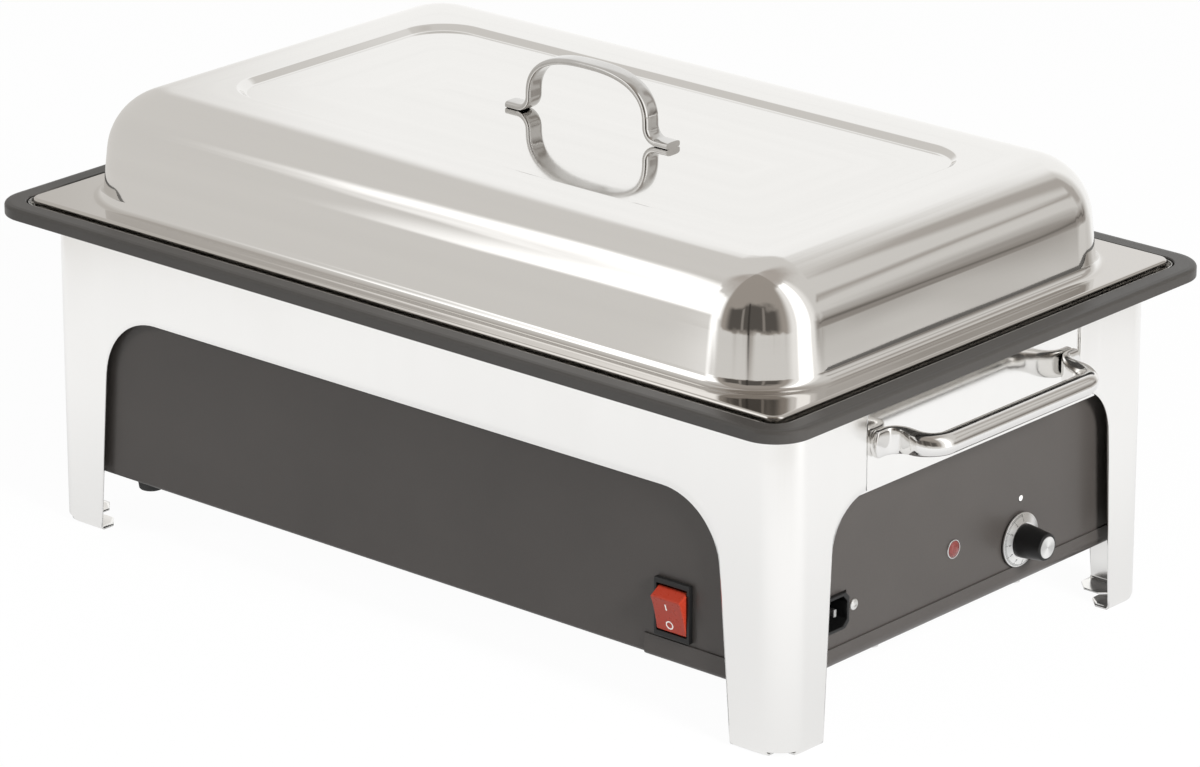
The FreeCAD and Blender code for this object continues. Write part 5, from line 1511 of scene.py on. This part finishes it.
# Grey of the studio's wall and, in turn, each patch that covers it: the azimuth of its middle, its half
# width, lowest and highest elevation and softness, all in degrees, and its colour
WALL_GREY = (0.70, 0.68, 0.65)
WALL_SHIFT = 7.0
WALL_PATCHES = (
    (60, 112, 60, 91, 28, (0.46, 0.42, 0.385)),
    (38, 46, -3, 91, 6, (0.36, 0.325, 0.29)),
    (33, 32, 1, 33, 10, (0.10, 0.09, 0.08)),
    (21, 1.5, 2, 30, 2, (0.28, 0.255, 0.23)),
    (29, 1.2, -3, 34, 2, (0.05, 0.045, 0.04)),
    (47, 1.5, 2, 30, 2, (0.26, 0.235, 0.21)),
    (-158, 33, -40, 43, 14, (1.03, 1.025, 1.01)),
    (-45, 9, 34, 50, 8, (1.5, 1.49, 1.47)),
    (-24, 13, 10, 42, 9, (1.5, 1.49, 1.47)),
    (-19, 6, -14, 14, 8, (1.4, 1.39, 1.37)),
    (95, 18, -40, 60, 10, (0.95, 0.93, 0.90)),
    (95, 9, -40, 60, 4, (1.5, 1.49, 1.47)),
    (136, 24, -10, 4, 10, (0.30, 0.275, 0.25)),
    (138, 20, -3, -1, 2, (0.17, 0.155, 0.14)),
    (142, 18, 15, 19, 5, (0.42, 0.39, 0.36)),
    (153, 6, 8, 44, 6, (0.46, 0.43, 0.40)),
)


def wall_material(height):
    """Greys of a studio's walls by direction from the given height, each patch over the one before."""
    material, tree = empty_material("studio_walls")
    place_vector = add(tree, "ShaderNodeTexCoord").outputs["Object"]
    moved = add(tree, "ShaderNodeVectorMath", {0: place_vector, 1: (0.0, 0.0, height)},
                operation="SUBTRACT").outputs[0]
    x, y, z = add(tree, "ShaderNodeSeparateXYZ", {"Vector": moved}).outputs
    turn = maths(tree, "ARCTAN2", x, maths(tree, "MULTIPLY", y, -1.0))
    azimuth = maths(tree, "DEGREES", turn)
    level = maths(tree, "DEGREES", maths(tree, "ARCSINE", maths(tree, "DIVIDE", z, length_of(tree, moved))))
    uneven = add(tree, "ShaderNodeTexNoise", {"Vector": place_vector, "Scale": 1.6, "Detail": 3.0})
    shift = shade_range(tree, uneven.outputs["Fac"], -WALL_SHIFT, WALL_SHIFT, 0.3, 0.7)
    elevation = maths(tree, "ADD", level, shift)
    shown = (*WALL_GREY, 1.0)
    for middle, half, low, high, soft, colour_of_patch in WALL_PATCHES:
        mask = use(tree, patch_effect(), Azimuth=azimuth, Elevation=elevation, Middle=float(middle),
                   Half_width=float(half), Low=float(low), High=float(high), Softness=float(soft))["Mask"]
        shown = mixed_colour(tree, mask, shown, (*colour_of_patch, 1.0))
    light = add(tree, "ShaderNodeEmission", {"Color": shown, "Strength": 1.0})
    add(tree, "ShaderNodeOutputMaterial", {"Surface": light.outputs[0]})
    return material


def stage_piece(name, x, y, z, material, mirrors_only):
    """A surface of the studio. Some are met only by rays that leave a mirror."""
    mesh = make_mesh(name, [np.stack(np.broadcast_arrays(x, y, z), axis=-1)], close_columns=False)
    thing = link_object(name, mesh)
    mesh.materials.append(material)
    if mirrors_only:
        for ray in ("camera", "diffuse", "transmission", "volume_scatter", "shadow"):
            setattr(thing, "visible_" + ray, False)


def aim(thing, target, azimuth, elevation, distance):
    """Put a lamp or a camera at a distance from its target, facing it, by its two angles."""
    back = np.array([math.sin(azimuth) * math.cos(elevation), -math.cos(azimuth) * math.cos(elevation),
                     math.sin(elevation)])
    thing.location = np.array(target) + back * distance
    thing.rotation_euler = (math.pi / 2 - elevation, 0.0, azimuth)


LAMP_WIDE, LAMP_DISTANCE, LAMP_TARGET = 0.7, 3.0, (0.0, 0.0, 0.12)


def lamp(name, azimuth, elevation, power):
    """A soft square lamp that mirrors don't see, aimed at the object from two angles in degrees."""
    light = bpy.data.lights.new(name, "AREA")
    light.size = LAMP_WIDE
    light.energy = power
    holder = link_object(name, light)
    aim(holder, LAMP_TARGET, math.radians(azimuth), math.radians(elevation), LAMP_DISTANCE)
    holder.visible_glossy = False


class DISH_OT_studio(bpy.types.Operator):
    """Pale floor, plain light, grey walls for the steel to mirror, and the camera"""
    bl_idname = "dish.studio"
    bl_label = "Studio"

    def execute(self, context):
        scene = context.scene
        settings = scene.dish_studio
        floor_height, paper_height = -0.0004, 0.0003
        side = np.linspace(-1, 1, 3) * settings.floor_half
        stage_piece("floor", side[None], side[:, None], floor_height,
                    floor_material(evenly_seen=0.97, evenly_mirrored=0.85), mirrors_only=False)
        walls = wall_material(settings.mirror_height)
        angle = np.linspace(0, 2 * np.pi, 97)[None]
        radius = np.array([settings.paper_radius, settings.wall_distance])[:, None]
        stage_piece("room_floor", radius * np.cos(angle), radius * np.sin(angle), paper_height, walls,
                    mirrors_only=True)
        rise = np.linspace(0, np.pi / 2, 25)[:, None]
        flat = settings.wall_distance * np.cos(rise)
        stage_piece("room_walls", flat * np.cos(angle), flat * np.sin(angle),
                    settings.wall_distance * np.sin(rise), walls, mirrors_only=True)

        world = bpy.data.worlds.new("studio")
        world.use_nodes = True
        scene.world = world
        tree = world.node_tree
        tree.nodes.clear()
        direct = seen_directly(tree)[0]
        strength = add(tree, "ShaderNodeMix", {0: direct, 2: settings.world_light, 3: 1.0}).outputs[0]
        light = add(tree, "ShaderNodeBackground", {"Color": WHITE, "Strength": strength})
        add(tree, "ShaderNodeOutputWorld", {"Surface": light.outputs[0]})

        lamp("key_lamp", 78.0, 28.0, settings.key_power)
        lamp("fill_lamp", -45.0, 25.0, settings.fill_power)

        camera_data = bpy.data.cameras.new("camera")
        camera_data.lens = settings.lens
        camera_data.sensor_width = 36.0
        camera_data.sensor_fit = "HORIZONTAL"
        camera_data.clip_end = 100.0
        camera = link_object("camera", camera_data)
        aim(camera, settings.target, settings.azimuth, settings.elevation, settings.distance)
        scene.camera = camera
        scene.view_settings.view_transform = "Standard"
        return {"FINISHED"}


class DISH_PT_panel(bpy.types.Panel):
    """Sizes, colours and the buttons that build each piece"""
    bl_idname = "DISH_PT_panel"
    bl_label = "Chafing dish"
    bl_space_type = "VIEW_3D"
    bl_region_type = "UI"
    bl_category = "Chafing dish"

    def draw(self, context):
        for operator in OPERATORS:
            self.layout.operator(operator.bl_idname)
        for holder, group in SETTINGS.items():
            box = self.layout.box()
            box.label(text=group.__doc__)
            for name in group.__annotations__:
                box.prop(getattr(context.scene, holder), name)


SETTINGS = {
    "dish_stand": StandSizes,
    "dish_rim": RimSizes,
    "dish_tank": TankSizes,
    "dish_pan": PanSizes,
    "dish_lid": LidSizes,
    "dish_handles": HandleSizes,
    "dish_controls": ControlSizes,
    "dish_colours": FinishColours,
    "dish_studio": StudioSettings,
}
OPERATORS = (DISH_OT_stand, DISH_OT_rim, DISH_OT_tank, DISH_OT_pan, DISH_OT_lid, DISH_OT_handles,
             DISH_OT_feet, DISH_OT_knob, DISH_OT_dial_marks, DISH_OT_indicator, DISH_OT_inlet,
             DISH_OT_switch, DISH_OT_inner_parts, DISH_OT_studio)


def register():
    """Register the settings, the operators and the panel."""
    for holder, group in SETTINGS.items():
        bpy.utils.register_class(group)
        setattr(bpy.types.Scene, holder, bpy.props.PointerProperty(type=group))
    for operator in OPERATORS:
        bpy.utils.register_class(operator)
    bpy.utils.register_class(DISH_PT_panel)


def unregister():
    """Take everything out again."""
    bpy.utils.unregister_class(DISH_PT_panel)
    for operator in reversed(OPERATORS):
        bpy.utils.unregister_class(operator)
    for holder, group in SETTINGS.items():
        delattr(bpy.types.Scene, holder)
        bpy.utils.unregister_class(group)


def main():
    """Build every piece in order."""
    register()
    for operator in OPERATORS:
        family, action = operator.bl_idname.split(".")
        getattr(getattr(bpy.ops, family), action)()
    bpy.context.view_layer.update()


if __name__ == "__main__":
    main()
